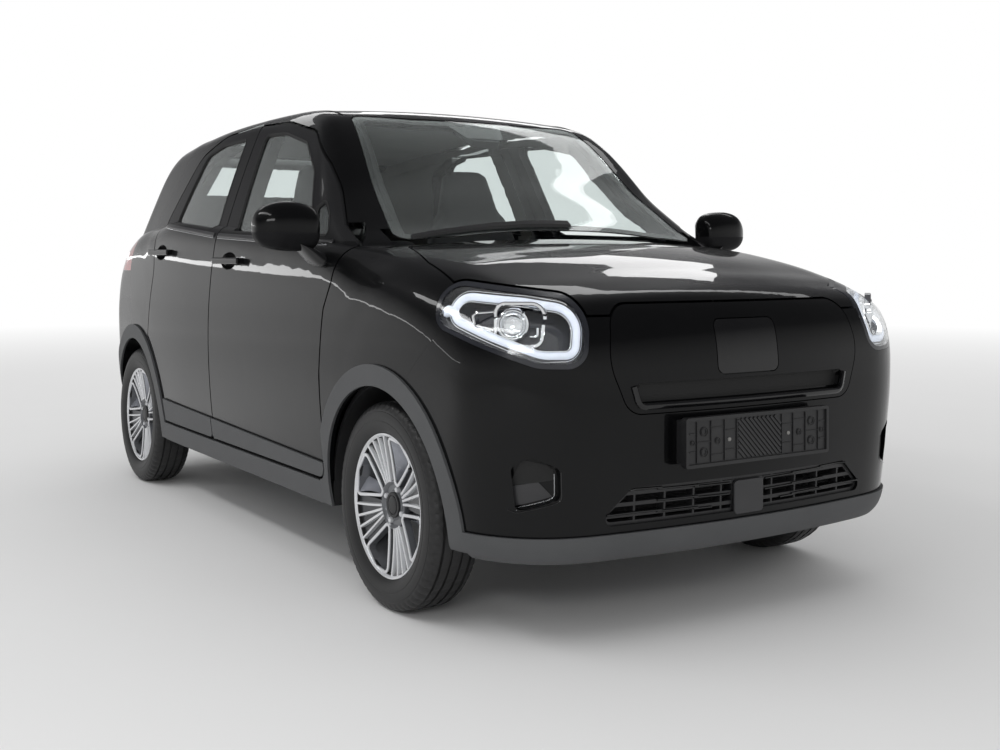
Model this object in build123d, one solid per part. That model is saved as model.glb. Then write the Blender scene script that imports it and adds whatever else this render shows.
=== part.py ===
"""Five-door electric city car: a hollow body with opening doors, bonnet, tailgate and charging flap.

Frame: +X forwards, +Y to the car's left, +Z up, origin on the ground under the middle of the overall length.
All sizes are in millimetres. One STEP file is written for each sub-part.

The outer skin comes from two lofted forms. The lower form runs from bumper to bumper and carries the bonnet
and the shoulders. The upper form is the glasshouse with its pillars and roof. Every panel is a layer of one of
these forms, cut along its shut lines, so neighbours stay flush.
"""

from build123d import *

import math
import os

import numpy as np

# ---------------------------------------------------------------- driving dimensions
WHEELBASE = 2400.0
FRONT_AXLE_X = 1120.0
REAR_AXLE_X = FRONT_AXLE_X - WHEELBASE
WHEEL_Y = 707.0
TYRE_RADIUS = 298.0
TYRE_WIDTH = 165.0
RIM_RADIUS = 190.5
AXLE_Z = TYRE_RADIUS
HALF_WIDTH = 815.0
NOSE_X = 1790.0
TAIL_X = -1830.0
FRONT_FACE_X = 1830.0

SHUT_GAP = 6.0
DOOR_GAP = 8.0
SEAT_GAP = 0.3
LAYER_GAP = 0.8
SKIN = 12.0
BONNET_THICKNESS = 28.0
BUMPER_THICKNESS = 28.0
ROOF_THICKNESS = 30.0
TAILGATE_THICKNESS = 42.0
GLASS_THICKNESS = 5.0
GLASS_RECESS = 5.0
SCREEN_RECESS = 2.0
SCREEN_GAP = 4.0
SCREEN_FLANGE = 20.0
TRIM_PROUD = 9.0

BELT_SPLIT_Z = 1100.0
DOOR_INNER_Y = 700.0
DOOR_FRAME = 38.0
DOOR_REBATE = 8.0
DOOR_REBATE_WIDTH = 16.0
RING_Y = 690.0
RING_FRAME = 56.0
CABIN_Y = 630.0
CABIN_FRAME = 100.0
APERTURE_FLANGE = 45.0
GLASS_OVERLAP = 13.0

ARCH_RADIUS = 345.0
ARCH_TRIM_RADIUS = 407.0
LINER = 15.0
FRONT_WELL_Y = 425.0
REAR_WELL_Y = 585.0
SILL_BOTTOM_Z = 238.0
SILL_TOP_Z = 318.0
FLOOR_Z = 262.0
FLOOR_THICKNESS = 24.0
LOAD_FLOOR_Z = 444.0
BUMPER_BOTTOM_Z = 226.0
LIP_TOP_Z = 298.0

FRONT_HINGE = (715.0, 805.0)
REAR_HINGE = (-296.0, 805.0)
TIP_SWEEP_RADIUS = 152.0
KINGPIN_Y = 647.0
STRUT_Y = 600.0
TOWER_RADIUS = 105.0
TOWER_TOP_Z = 800.0
MOTOR_BOTTOM_Z = 300.0
STUB_RADIUS = 15.0
STUB_CLEARANCE = 0.05


# ---------------------------------------------------------------- small helpers
def hermite(knots):
    """A smooth curve through (position, value) knots, as a function of an array of positions."""
    xs = np.array([k[0] for k in knots], float)
    ys = np.array([k[1] for k in knots], float)
    step = np.diff(xs)
    slope = np.diff(ys) / step
    inner = (slope[:-1] * step[1:] + slope[1:] * step[:-1]) / (step[1:] + step[:-1])
    tangent = np.concatenate([slope[:1], inner, slope[-1:]])

    def value(x):
        x = np.asarray(x, float)
        i = np.clip(np.searchsorted(xs, x) - 1, 0, len(step) - 1)
        inside = np.clip(x, xs[0], xs[-1])
        t = (inside - xs[i]) / step[i]
        cubic = (
            (2 * t**3 - 3 * t**2 + 1) * ys[i]
            + (t**3 - 2 * t**2 + t) * step[i] * tangent[i]
            + (3 * t**2 - 2 * t**3) * ys[i + 1]
            + (t**3 - t**2) * step[i] * tangent[i + 1]
        )
        beyond = np.where(x < xs[0], (x - xs[0]) * tangent[0], (x - inside) * tangent[-1])
        return cubic + beyond

    return value


def polar_curve(points, axis):
    """The distance from an axis (x, z) to a side silhouette, as a function of the angle in degrees."""
    knots = sorted(
        (math.degrees(math.atan2(z - axis[1], x - axis[0])) % 360.0, math.hypot(x - axis[0], z - axis[1]))
        for x, z in points
    )
    knots = sorted((a - 360.0 if a > 270.0 else a, r) for a, r in knots)
    return hermite(knots)


def ease(a, b, t):
    """a at t = 0 and b at t = 1, with a smooth run between."""
    t = min(1.0, max(0.0, t))
    t = t * t * (3 - 2 * t)
    return a + (b - a) * t


def rounded_max(a, b, radius, power=2.35):
    """The larger of two distances, with the edge between them rounded."""
    u = np.maximum(a + radius, 0.0)
    v = np.maximum(b + radius, 0.0)
    return np.minimum(np.maximum(a, b), -radius) + (u**power + v**power) ** (1 / power)


# ---------------------------------------------------------------- lofted forms
RAYS = 120
HALF_POINTS = 13
SMOOTHING = 19


def arch_section(plane, half_width, inset):
    """One section across a form, from foot to foot. plane holds the origin and direction of its height line in the
    XZ plane, the height of its feet and top, and the crown and corner radius of its top."""
    (ox, oz), (dx, dz), foot, top, crown, radius = plane
    angle = np.linspace(0.0, math.pi / 2, RAYS)
    low, high = np.zeros(RAYS), np.full(RAYS, 1500.0)
    for _ in range(34):
        reach = (low + high) / 2
        s, y = foot + reach * np.sin(angle), reach * np.cos(angle)
        cap = s - (top - crown * (y / HALF_WIDTH) ** 2)
        side = y - half_width(ox + dx * s, oz + dz * s)
        inside = rounded_max(cap, side, radius) + inset < 0
        low, high = np.where(inside, reach, low), np.where(inside, high, reach)
    s, y = foot + low * np.sin(angle), low * np.cos(angle)
    length = np.hypot(np.diff(s), np.diff(y))
    turn = np.abs(np.gradient(np.unwrap(np.arctan2(np.diff(s), np.diff(y)))))
    weight = length / length.sum() + 0.9 * turn / turn.sum()
    window = np.ones(SMOOTHING) / SMOOTHING
    weight = np.convolve(np.pad(weight, SMOOTHING // 2, mode="edge"), window, "valid")
    along = np.concatenate([[0.0], np.cumsum(weight)])
    picks = np.linspace(0.0, along[-1], HALF_POINTS)
    s, y = np.interp(picks, along, s), np.interp(picks, along, y)
    half = [(ox + dx * a, b, oz + dz * a) for a, b in zip(s, y)]
    half[-1] = (half[-1][0], 0.0, half[-1][2])
    return half + [(x, -b, z) for x, b, z in reversed(half[:-1])]


def lofted_form(planes, half_width, inset):
    """A closed solid through arch sections. Its underside joins the feet."""
    wires = []
    for plane in planes:
        points = arch_section(plane, half_width, inset)
        spacing = [i / (len(points) - 1) for i in range(len(points))]
        over = Edge.make_spline([Vector(*p) for p in points], parameters=spacing)
        wires.append(Wire([over, Edge.make_line(over @ 1, over @ 0)]))
    return Solid.make_loft(wires)


def lofted_layer(planes, half_width, outer, inner):
    """A layer of a form between two insets, lofted through banded sections."""
    wires = []
    for plane in planes:
        over = arch_section(plane, half_width, outer)
        under = arch_section(plane, half_width, inner)[::-1]
        spacing = [i / (len(over) - 1) for i in range(len(over))]
        top = Edge.make_spline([Vector(*p) for p in over], parameters=spacing)
        bottom = Edge.make_spline([Vector(*p) for p in under], parameters=spacing)
        wires.append(Wire([top, Edge.make_line(top @ 1, bottom @ 0), bottom, Edge.make_line(bottom @ 1, top @ 0)]))
    return Solid.make_loft(wires)


# Side silhouettes along the centre line, as (x, z).
BONNET_REAR_Z = 1072.0
NOSE_LINE = [
    (1690, 180), (1768, 250), (1787, 380), (NOSE_X, 540), (1788, 690), (1771, 815), (1732, 893), (1648, 932),
    (1500, 968), (1300, 1014), (FRONT_AXLE_X, 1046), (900, BONNET_REAR_Z),
]  # fmt: skip
TAIL_LINE = [
    (-1690, 180), (-1775, 260), (-1815, 400), (TAIL_X, 540), (-1812, 700), (-1778, 850), (-1735, 980),
    (-1680, 1085), (-1560, 1150), (-1440, 1172), (REAR_AXLE_X, 1183),
]  # fmt: skip
DECK_LINE = [
    (-1440, 1172), (REAR_AXLE_X, 1183), (-900, 1180), (-300, 1148), (300, 1112), (900, BONNET_REAR_Z),
    (FRONT_AXLE_X, 1046), (1300, 1014),
]  # fmt: skip
WINDSCREEN_LINE = [
    (1075, 984), (1000, 1037), (891, 1115), (700, 1250), (500, 1392), (390, 1468), (290, 1524), (190, 1553),
    (50, 1569), (-150, 1576),
]  # fmt: skip
ROOF_LINE = [
    (-1250, 1530), (-1100, 1545), (-800, 1566), (-450, 1576), (-150, 1576), (50, 1569), (190, 1553), (290, 1524),
]  # fmt: skip
BACKLIGHT_LINE = [
    (-1660, 960), (-1642, 1050), (-1612, 1150), (-1572, 1270), (-1535, 1370), (-1500, 1440), (-1460, 1484),
    (-1400, 1508), (-1250, 1530), (-1100, 1545),
]  # fmt: skip

GLASSHOUSE_FRONT = (200.0, 960.0)
GLASSHOUSE_REAR = (-1150.0, 960.0)


def lower_half_width(x, z):
    """The half width of the lower body's side: widest below the shoulder, drawn in at both ends."""
    z = np.clip(z, 100.0, 1400.0)
    side = HALF_WIDTH - np.where(z < 720.0, 0.00017, 0.00024) * (z - 720.0) ** 2
    front = 34.0 * np.maximum((x - 700.0) / 1000.0, 0.0) ** 2.2
    rear = 42.0 * np.maximum((-500.0 - x) / 1200.0, 0.0) ** 2.2
    return side - front - rear


def upper_half_width(x, z):
    """The half width of the glasshouse, which leans in towards the roof."""
    rise = np.clip(z, 700.0, 1700.0) - 1100.0
    side = 747.0 - 0.34 * rise - 0.00014 * np.maximum(rise, 0.0) ** 2
    front = 0.00011 * np.maximum(x - 300.0, 0.0) ** 2
    rear = 0.00003 * np.maximum(-300.0 - x, 0.0) ** 2
    return side - front - rear


def lower_planes():
    """Section planes of the lower form: a fan about each axle and slices between."""
    foot = ARCH_RADIUS - 195.0
    nose = polar_curve(NOSE_LINE, (FRONT_AXLE_X, AXLE_Z))
    tail = polar_curve(TAIL_LINE, (REAR_AXLE_X, AXLE_Z))
    deck = hermite(sorted(DECK_LINE))
    planes = []
    for angle in (-16, -9, -2, 5, 12, 19, 26, 33, 40, 46, 51, 56, 61, 67, 74, 82, 90):
        a = math.radians(angle)
        crown, radius = ease(95, 42, (angle - 35) / 30), ease(250, 150, (angle - 30) / 50)
        planes.append(
            ((FRONT_AXLE_X, AXLE_Z), (math.cos(a), math.sin(a)), foot, float(nose(angle)), crown, radius)
        )
    for x in (1040, 960, 880, 790, 700, 560, 400, 200, 0, -200, -400, -600, -760, -900, -1020, -1120, -1205):
        low = ease(AXLE_Z + foot, 180, (FRONT_AXLE_X - x) / 300) if x > 0 else ease(
            180, AXLE_Z + foot, (300 - (x - REAR_AXLE_X)) / 300
        )
        crown = ease(42, 20, (900 - x) / 500) if x > 0 else ease(20, 42, (-900 - x) / 380)
        radius = ease(150, 62, (1050 - x) / 420) if x > -500 else ease(62, 130, (-700 - x) / 580)
        planes.append(((float(x), 0.0), (0.0, 1.0), low, float(deck(x)), crown, radius))
    for angle in (90, 98, 106, 113, 119, 125, 131, 138, 146, 154, 161, 168, 175, 182, 189, 196):
        a = math.radians(angle)
        crown, radius = ease(42, 85, (angle - 110) / 30), ease(130, 230, (angle - 90) / 50)
        planes.append(
            ((REAR_AXLE_X, AXLE_Z), (math.cos(a), math.sin(a)), foot, float(tail(angle)), crown, radius)
        )
    return planes


def upper_planes():
    """Section planes of the glasshouse: a fan over the windscreen, slices under the roof, a fan over the tail."""
    foot = 40.0
    screen = polar_curve(WINDSCREEN_LINE, GLASSHOUSE_FRONT)
    backlight = polar_curve(BACKLIGHT_LINE, GLASSHOUSE_REAR)
    roof = hermite(sorted(ROOF_LINE))
    planes = []
    for angle in (-2, 5, 12, 19, 26, 33, 40, 47, 54, 61, 68, 74, 79, 84, 90):
        a = math.radians(angle)
        crown, radius = ease(150, 48, (angle - 20) / 65), ease(95, 62, (angle - 20) / 60)
        planes.append(
            (GLASSHOUSE_FRONT, (math.cos(a), math.sin(a)), foot, float(screen(angle)), crown, radius)
        )
    for x in (110, 0, -150, -300, -450, -600, -750, -900, -1020):
        low = GLASSHOUSE_FRONT[1] + foot
        planes.append(((float(x), 0.0), (0.0, 1.0), low, float(roof(x)), 48.0, 62.0))
    for angle in (90, 98, 105, 111, 117, 122, 127, 132, 137, 143, 149, 156, 163, 170, 177, 184):
        a = math.radians(angle)
        crown, radius = ease(48, 66, (angle - 110) / 30), ease(62, 110, (angle - 100) / 50)
        planes.append(
            (GLASSHOUSE_REAR, (math.cos(a), math.sin(a)), foot, float(backlight(angle)), crown, radius)
        )
    return planes


_forms = {}


def lower(inset=0.0):
    """The lower form with its skin moved in by inset."""
    if ("lower", inset) not in _forms:
        _forms["lower", inset] = lofted_form(lower_planes(), lower_half_width, inset)
    return _forms["lower", inset]


def upper(inset=0.0):
    """The glasshouse form with its skin moved in by inset."""
    if ("upper", inset) not in _forms:
        _forms["upper", inset] = lofted_form(upper_planes(), upper_half_width, inset)
    return _forms["upper", inset]


def body(inset=0.0):
    """The whole outer form: lower form and glasshouse joined, with the skin moved in by inset."""
    if ("body", inset) not in _forms:
        _forms["body", inset] = lower(inset).fuse(upper(inset))
    return _forms["body", inset]


# ---------------------------------------------------------------- flat outlines and prisms
def outline(points, grow=0.0):
    """A flat face from corners (u, v) or (u, v, corner radius), grown by an offset."""
    face = Face(Wire.make_polygon([(p[0], p[1]) for p in points]))
    for p in points:
        if len(p) == 3:
            corner = min(face.vertices(), key=lambda v: math.hypot(v.X - p[0], v.Y - p[1]))
            face = face.fillet_2d(p[2], [corner])
    return grown(face, grow)


def grown(face, grow):
    """A flat face with its edge moved out by grow."""
    if not grow:
        return face
    return offset(face, amount=grow, kind=Kind.INTERSECTION).faces()[0]


def side_plane(y):
    """A plane seen from the left, with u along X and v along Z, that extrudes towards the right."""
    return Plane(origin=(0, y, 0), x_dir=(1, 0, 0), z_dir=(0, -1, 0))


def front_plane(x):
    """A plane seen from ahead, with u along Y and v along Z, that extrudes forwards."""
    return Plane(origin=(x, 0, 0), x_dir=(0, 1, 0), z_dir=(1, 0, 0))


def side_prism(face, y0, y1):
    """An XZ outline drawn out along Y."""
    return extrude(side_plane(y0) * face, amount=y1 - y0, dir=(0, 1, 0))


def front_prism(face, x0, x1):
    """A YZ outline drawn out along X."""
    return extrude(front_plane(x0) * face, amount=x1 - x0, dir=(1, 0, 0))


def top_prism(face, z0, z1):
    """An XY outline drawn out along Z."""
    return extrude(Plane.XY.offset(z0) * face, amount=z1 - z0, dir=(0, 0, 1))


def block(x0, x1, y0, y1, z0, z1):
    """A box between two corners."""
    return Pos((x0 + x1) / 2, (y0 + y1) / 2, (z0 + z1) / 2) * Box(abs(x1 - x0), abs(y1 - y0), abs(z1 - z0))


def round_block(x0, x1, y0, y1, z0, z1, radius):
    """A box with all its edges rounded."""
    solid = block(x0, x1, y0, y1, z0, z1)
    return fillet(solid.edges(), radius)


def y_cylinder(x, z, radius, y0, y1):
    """A cylinder along Y."""
    return Pos(x, (y0 + y1) / 2, z) * Rot(90, 0, 0) * Cylinder(radius, abs(y1 - y0))


def z_cylinder(x, y, radius, z0, z1):
    """A cylinder along Z."""
    return Pos(x, y, (z0 + z1) / 2) * Cylinder(radius, z1 - z0)


def x_cylinder(y, z, radius, x0, x1):
    """A cylinder along X."""
    return Pos((x0 + x1) / 2, y, z) * Rot(0, 90, 0) * Cylinder(radius, abs(x1 - x0))


def solids_of(shape):
    """The solids in whatever a boolean gave."""
    if shape is None:
        return []
    if isinstance(shape, (list, tuple)):
        return [solid for item in shape for solid in item.solids()]
    return list(shape.solids())


def cut(shape, *tools):
    """A shape with every tool taken out of it, as one solid or a compound of solids."""
    for tool in tools:
        solids = solids_of(shape - solids_of(tool))
        shape = solids[0] if len(solids) == 1 else Compound(solids)
    return shape


def keep(shape, tool):
    """What a shape shares with a tool."""
    found = [part for a in solids_of(shape) for b in solids_of(tool) for part in solids_of(a.intersect(b) or [])]
    return found[0] if len(found) == 1 else Compound(found)


def lower_layer(outer, inner):
    """A layer of the lower form, between two insets."""
    if ("lower layer", outer, inner) not in _forms:
        _forms["lower layer", outer, inner] = lofted_layer(lower_planes(), lower_half_width, outer, inner)
    return _forms["lower layer", outer, inner]


def upper_layer(outer, inner):
    """A layer of the glasshouse, between two insets."""
    if ("upper layer", outer, inner) not in _forms:
        _forms["upper layer", outer, inner] = lofted_layer(upper_planes(), upper_half_width, outer, inner)
    return _forms["upper layer", outer, inner]


def both_sides(solid):
    """A solid and its mirror image across the middle of the car."""
    return [solid, mirror(solid, about=Plane.XZ)]


def hollow(side_y, frame, x0, x1):
    """The space inside the walls: plain below the belt, and following the glasshouse above it."""
    below = block(x0, x1, -side_y, side_y, FLOOR_Z - 200, BELT_SPLIT_Z)
    above = upper(frame) & block(x0, x1, -900, 900, BELT_SPLIT_Z, 1700)
    return below + above


def wheel_wells(y0, axle_x):
    """The round spaces that the wheels of one axle run in."""
    well = y_cylinder(axle_x, AXLE_Z, ARCH_RADIUS, y0, 950)
    low = block(axle_x - ARCH_RADIUS, axle_x + ARCH_RADIUS, y0, 950, 0, AXLE_Z)
    return both_sides(well + low)


# ---------------------------------------------------------------- outlines of the panels
FRONT_APERTURE = [
    (752, SILL_TOP_Z, 40), (742, 640), (768, 850, 60), (812, 935, 60), (826, 1050, 14), (702, 1115),
    (600, 1200, 200), (460, 1325, 200), (270, 1455, 150), (-16, 1512, 200), (-320, 1525, 20), (-265, 1080, 300),
    (-265, SILL_TOP_Z, 25),
]  # fmt: skip
REAR_APERTURE = [
    (-265, SILL_TOP_Z, 25), (-265, 1080, 300), (-320, 1530, 20), (-700, 1515, 300), (-935, 1440, 130),
    (-1088, 1160, 60), (-1003, 950, 120), (-1062, 660), (-1150, SILL_TOP_Z),
]  # fmt: skip
REAR_DOOR_ARCH = 430.0
FRONT_WINDOWS = [
    [(-140, 1106, 15), (-212, 1474, 25), (-16, 1466, 200), (228, 1412, 100), (392, 1300, 30), (532, 1085, 12)],
    [(442, 1270, 20), (572, 1085, 12), (648, 1082, 10), (600, 1146, 60)],
]  # fmt: skip
REAR_WINDOWS = [[(-366, 1120, 15), (-425, 1476, 25), (-690, 1470, 150), (-850, 1436, 60), (-925, 1158, 20)]]
SCREEN = [
    (915, 0), (908, 400), (872, 612, 50), (262, 478, 50), (303, 250), (309, 0), (303, -250), (262, -478, 50),
    (872, -612, 50), (908, -400),
]  # fmt: skip
BONNET = [
    (936, 420), (960, 615, 30), (1211, 684), (1400, 708), (1900, 742), (1900, -742), (1400, -708), (1211, -684),
    (960, -615, 30), (936, -420),
]  # fmt: skip
BONNET_EDGE_Z = 862.0
NOSE_PANEL = [
    (432, 887, 75), (462, 740, 150), (405, 604, 60), (-405, 604, 60), (-462, 740, 150), (-432, 887, 75),
]  # fmt: skip
GRILLE = [(395, 414, 25), (505, 318, 20), (-505, 318, 20), (-395, 414, 25)]
CORNER_RECESS = [(706, 480, 20), (670, 508, 20), (600, 476, 20), (596, 398, 20), (690, 366, 15)]
HEADLAMP = [(312, 956, 74), (728, 906, 110), (722, 726, 50), (600, 730, 120), (312, 828, 48)]
HEADLAMP_AZIMUTH = 40.0
FENDER = [
    (600, 200), (600, 1120), (1480, 1120), (1600, 960), (1600, 905), (1447, 811), (1292, 681, 60), (1292, 200),
]  # fmt: skip
TAILGATE = [
    (500, 1620), (592, 1180, 80), (545, 960, 60), (522, 702, 50), (-522, 702, 50), (-545, 960, 60),
    (-592, 1180, 80), (-500, 1620),
]  # fmt: skip
TAILGATE_TOP_X = -1345.0
TAILGATE_SIDE_GAP = 8.0
BACKLIGHT = [(430, 1458, 60), (505, 1165, 60), (-505, 1165, 60), (-430, 1458, 60)]
TAIL_LAMP = [(640, 1080, 40), (830, 1080, 40), (830, 945, 40), (600, 945, 40)]
TAIL_LAMP_X = -1412.0
REAR_BUMPER = [(-1900, 232), (-1540, 232), (-1600, 470), (-1568, 700), (-1900, 700)]
ROOF_HALF_WIDTH = 500.0


def lamp_prism(grow=0.0, back=1380.0):
    """The left headlamp's outline, drawn out through the corner of the car from a distance back."""
    a = math.radians(HEADLAMP_AZIMUTH)
    out = Vector(math.cos(a), math.sin(a), 0)
    plane = Plane(origin=out * back, x_dir=(math.sin(a), -math.cos(a), 0), z_dir=-out)
    return extrude(plane * outline(HEADLAMP, grow), amount=1900.0 - back, dir=out)


def front_aperture(grow=0.0):
    return outline(FRONT_APERTURE, grow)


def rear_aperture(grow=0.0):
    """The rear door's aperture, cut round the rear wheel arch."""
    arch = Pos(REAR_AXLE_X, AXLE_Z) * Circle(REAR_DOOR_ARCH)
    face = (outline(REAR_APERTURE) - arch).faces().sort_by(Axis.Y)[-1]
    return grown(face, grow)


# ---------------------------------------------------------------- doors
def door(aperture, windows):
    """A left door: a hollow skin with its window frame, rebated all round and with its windows cut."""
    shell = body() & side_prism(aperture(-DOOR_GAP / 2), 400, 950)
    shell = cut(shell, hollow(DOOR_INNER_Y, DOOR_FRAME, -1700, 1100))
    edge = body(DOOR_REBATE) & side_prism(aperture(DOOR_GAP / 2), 350, 980)
    edge = cut(edge, side_prism(aperture(-DOOR_GAP / 2 - DOOR_REBATE_WIDTH), 300, 990))
    shell = cut(shell, edge)
    shell = cut(shell, top_prism(outline(SCREEN, SCREEN_GAP + 14), 900, 1700))
    for window in windows:
        shell = cut(shell, side_prism(outline(window), 350, 980))
        shell = cut(shell, side_prism(outline(window, GLASS_OVERLAP + 1), 350, 980) & upper(GLASS_RECESS - LAYER_GAP))
    return shell


def door_glass(windows):
    """The panes of a left door, one solid for each window."""
    layer = upper_layer(GLASS_RECESS, GLASS_RECESS + GLASS_THICKNESS)
    return [keep(layer, side_prism(outline(w, GLASS_OVERLAP), 350, 980)) for w in windows]


def door_cladding(aperture):
    """The moulded cladding along the foot of a left door."""
    top = outline([(900, 200), (900, 366), (-1200, 420), (-1200, 200)])
    foot = (aperture(-DOOR_GAP / 2) & top).faces()[0]
    return keep(lower_layer(-TRIM_PROUD, -LAYER_GAP), side_prism(foot, 600, 950))


HANDLE_LENGTH = 262.0
HANDLE_REACH = 27.0
FRONT_HANDLE = (-74.0, 995.0)
REAR_HANDLE = (-903.0, 1027.0)


def skin_y(x, z):
    """The half width of the lower body's skin at a place on its side."""
    return float(lower_half_width(x, z))


def door_handle(centre):
    """A bar handle with a foot at each end."""
    x, z = centre
    y = skin_y(x, z)
    half = HANDLE_LENGTH / 2
    bar = round_block(x - half, x + half, y + HANDLE_REACH - 15, y + HANDLE_REACH, z - 12, z + 12, 6)
    feet = [round_block(x + s - 17, x + s + 17, y - 30, y + HANDLE_REACH - 2, z - 11, z + 11, 5)
            for s in (-half + 20, half - 20)]  # fmt: skip
    return bar + feet


def handle_cup(centre):
    """The hollow behind a handle's bar."""
    x, z = centre
    return Pos(x - 20, skin_y(x, z) + 4, z) * scale(Sphere(1), by=(78, 26, 33))


# ---------------------------------------------------------------- mirrors
MIRROR_CENTRE = (700.0, 905.0, 1108.0)
MIRROR_SIZE = (118.0, 208.0, 138.0)
STALK_Z = 1032.0


def door_mirror():
    """The left mirror: a rounded head, hollow behind its glass, on a stalk that stands on the door."""
    x, y, z = MIRROR_CENTRE
    length, width, height = (size / 2 for size in MIRROR_SIZE)
    seen_ahead = outline([
        (y - width, z - 42, 20), (y - width, z + 46, 35), (y - 10, z + height, 70), (y + width, z + 40, 35),
        (y + width - 8, z - 40, 35), (y + 20, z - height, 70),
    ])  # fmt: skip
    seen_above = outline([
        (x - length, y - width, 10), (x - length, y + width, 12), (x + 8, y + width, 40), (x + length, y + 30, 60),
        (x + length - 6, y - width, 30),
    ])  # fmt: skip
    seen_beside = outline([
        (x - length, z - height + 6, 12), (x - length, z + height - 6, 12), (x + 14, z + height, 30),
        (x + length, z, 40), (x + 14, z - height, 30),
    ])  # fmt: skip
    head = front_prism(seen_ahead, x - 90, x + 90) & top_prism(seen_above, z - 90, z + 90)
    head = head & side_prism(seen_beside, y - 130, y + 130)
    pocket = front_plane(x - 90) * Pos(y, z) * RectangleRounded(2 * width - 42, 2 * height - 50, 34)
    head = cut(head, extrude(pocket, amount=90 - length + 14, dir=(1, 0, 0)))
    root = skin_y(x, STALK_Z) - 30
    stalk = Plane(origin=(x + 18, root, STALK_Z - 8), z_dir=(0, 0.85, 0.42), x_dir=(1, 0, 0))
    arm = loft([stalk * RectangleRounded(92, 46, 18), stalk.offset(100) * RectangleRounded(72, 34, 14)])
    return (head + arm) - body(-LAYER_GAP)


# ---------------------------------------------------------------- fixed body sides
def door_seal(aperture):
    """The rubber that a left door shuts against, along its foot and its rear edge."""
    inner = aperture(-DOOR_GAP / 2 - DOOR_REBATE_WIDTH - 12)
    ring = side_prism(aperture(-DOOR_GAP / 2 - DOOR_REBATE_WIDTH), RING_Y - 0.5, DOOR_INNER_Y - SEAT_GAP)
    ring = cut(ring, side_prism(inner, RING_Y - 5, DOOR_INNER_Y + 5))
    front = FRONT_HINGE[0] if aperture is front_aperture else REAR_HINGE[0]
    return ring & block(front - 900, front - 80, 600, 800, SILL_TOP_Z, 1000)


def side_frame():
    """The left body side: sill, pillars, roof rail and rear quarter, with both door apertures open."""
    low = body() & block(-1900, 745, 0, 900, SILL_BOTTOM_Z, BELT_SPLIT_Z - 60)
    high = body() & block(-1900, 745, 0, 900, BELT_SPLIT_Z - 60, 1700)
    pillar = upper() & block(745, 1100, 0, 900, BELT_SPLIT_Z - 60, 1700)
    frame = low + high + pillar
    post = block(-1900, -1400, REAR_POST_Y, CABIN_Y + 5, 690, BELT_SPLIT_Z - 20) - lower(REAR_POST_DEPTH)
    frame = cut(frame, hollow(CABIN_Y, CABIN_FRAME, -1840, 1100) - post)
    frame = cut(frame, block(-1900, 400, -1, ROOF_HALF_WIDTH, 1300, 1700))
    ring = hollow(RING_Y, RING_FRAME, -1800, 1150)
    for aperture in (front_aperture, rear_aperture):
        frame = cut(frame, side_prism(aperture(DOOR_GAP / 2), 350, 980) - ring)
        frame = cut(frame, side_prism(aperture(-APERTURE_FLANGE), 350, 980))
    for aperture in (front_aperture, rear_aperture):
        frame = frame + door_seal(aperture)
    frame = cut(frame, z_cylinder(*FRONT_HINGE, TIP_SWEEP_RADIUS, 700, 1120))
    frame = cut(frame, block(760, 1100, -1, 585, BELT_SPLIT_Z - 60, 1130))
    frame = cut(frame, screen_opening())
    frame = cut(frame, top_prism(outline(SCREEN, -SCREEN_FLANGE), 900, 1700))
    frame = cut(frame, tailgate_space() - tailgate_stop())
    lamp = front_prism(outline(TAIL_LAMP, 0.5), -1900, TAIL_LAMP_X)
    frame = cut(frame, lamp - lower(BUMPER_THICKNESS + LAYER_GAP))
    frame = cut(frame, side_prism(outline(REAR_BUMPER, 0.3), -950, 950))
    house = y_cylinder(REAR_AXLE_X, AXLE_Z, ARCH_RADIUS + LINER, REAR_WELL_Y - LINER, CABIN_Y + 40)
    house &= block(-1900, 0, 0, 900, 350, 900)
    frame = frame + house
    for well in wheel_wells(REAR_WELL_Y, REAR_AXLE_X):
        frame = cut(frame, well)
    return frame


REAR_POST_Y = 490.0
REAR_POST_DEPTH = 75.0


def tailgate_stop():
    """The rubber stop that the left side of the tailgate rests on."""
    return x_cylinder(515, 850, 9, -1900, -1500) & lower(TAILGATE_THICKNESS + LAYER_GAP)


def tailgate_space():
    """The space that the tailgate fills, with a gap all round."""
    space = front_prism(outline(TAILGATE, TAILGATE_SIDE_GAP), -1900, TAILGATE_TOP_X + SHUT_GAP)
    return space - (body(TAILGATE_THICKNESS + SHUT_GAP) & block(-1900, -1200, -900, 900, 600, 1700))


def roof_panel():
    space = block(TAILGATE_TOP_X + SHUT_GAP, 400, -ROOF_HALF_WIDTH, ROOF_HALF_WIDTH, 1300, 1700)
    panel = keep(upper_layer(0.0, ROOF_THICKNESS), space)
    panel = cut(panel, screen_opening())
    return panel - top_prism(outline(SCREEN, -SCREEN_FLANGE), 900, 1700)


def screen_opening():
    """The space of the windscreen and its seat, over the glass."""
    return top_prism(outline(SCREEN, SCREEN_GAP), 900, 1700) - upper(SCREEN_RECESS + GLASS_THICKNESS + LAYER_GAP)


def windscreen():
    layer = upper_layer(SCREEN_RECESS, SCREEN_RECESS + GLASS_THICKNESS)
    return keep(layer, top_prism(outline(SCREEN), 1000, 1700))


# ---------------------------------------------------------------- tailgate
TAILGATE_GLASS_FLANGE = 22.0


def tailgate():
    gate = body() & front_prism(outline(TAILGATE), -1900, TAILGATE_TOP_X)
    gate = cut(gate, body(TAILGATE_THICKNESS))
    opening = outline(BACKLIGHT, SCREEN_GAP)
    gate = cut(gate, front_prism(opening, -1900, -1300) - upper(SCREEN_RECESS + GLASS_THICKNESS + LAYER_GAP))
    gate = cut(gate, front_prism(outline(BACKLIGHT, -TAILGATE_GLASS_FLANGE), -1900, -1300))
    return gate


def tailgate_glass():
    layer = upper_layer(SCREEN_RECESS, SCREEN_RECESS + GLASS_THICKNESS)
    return keep(layer, front_prism(outline(BACKLIGHT), -1900, -1300))


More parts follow.
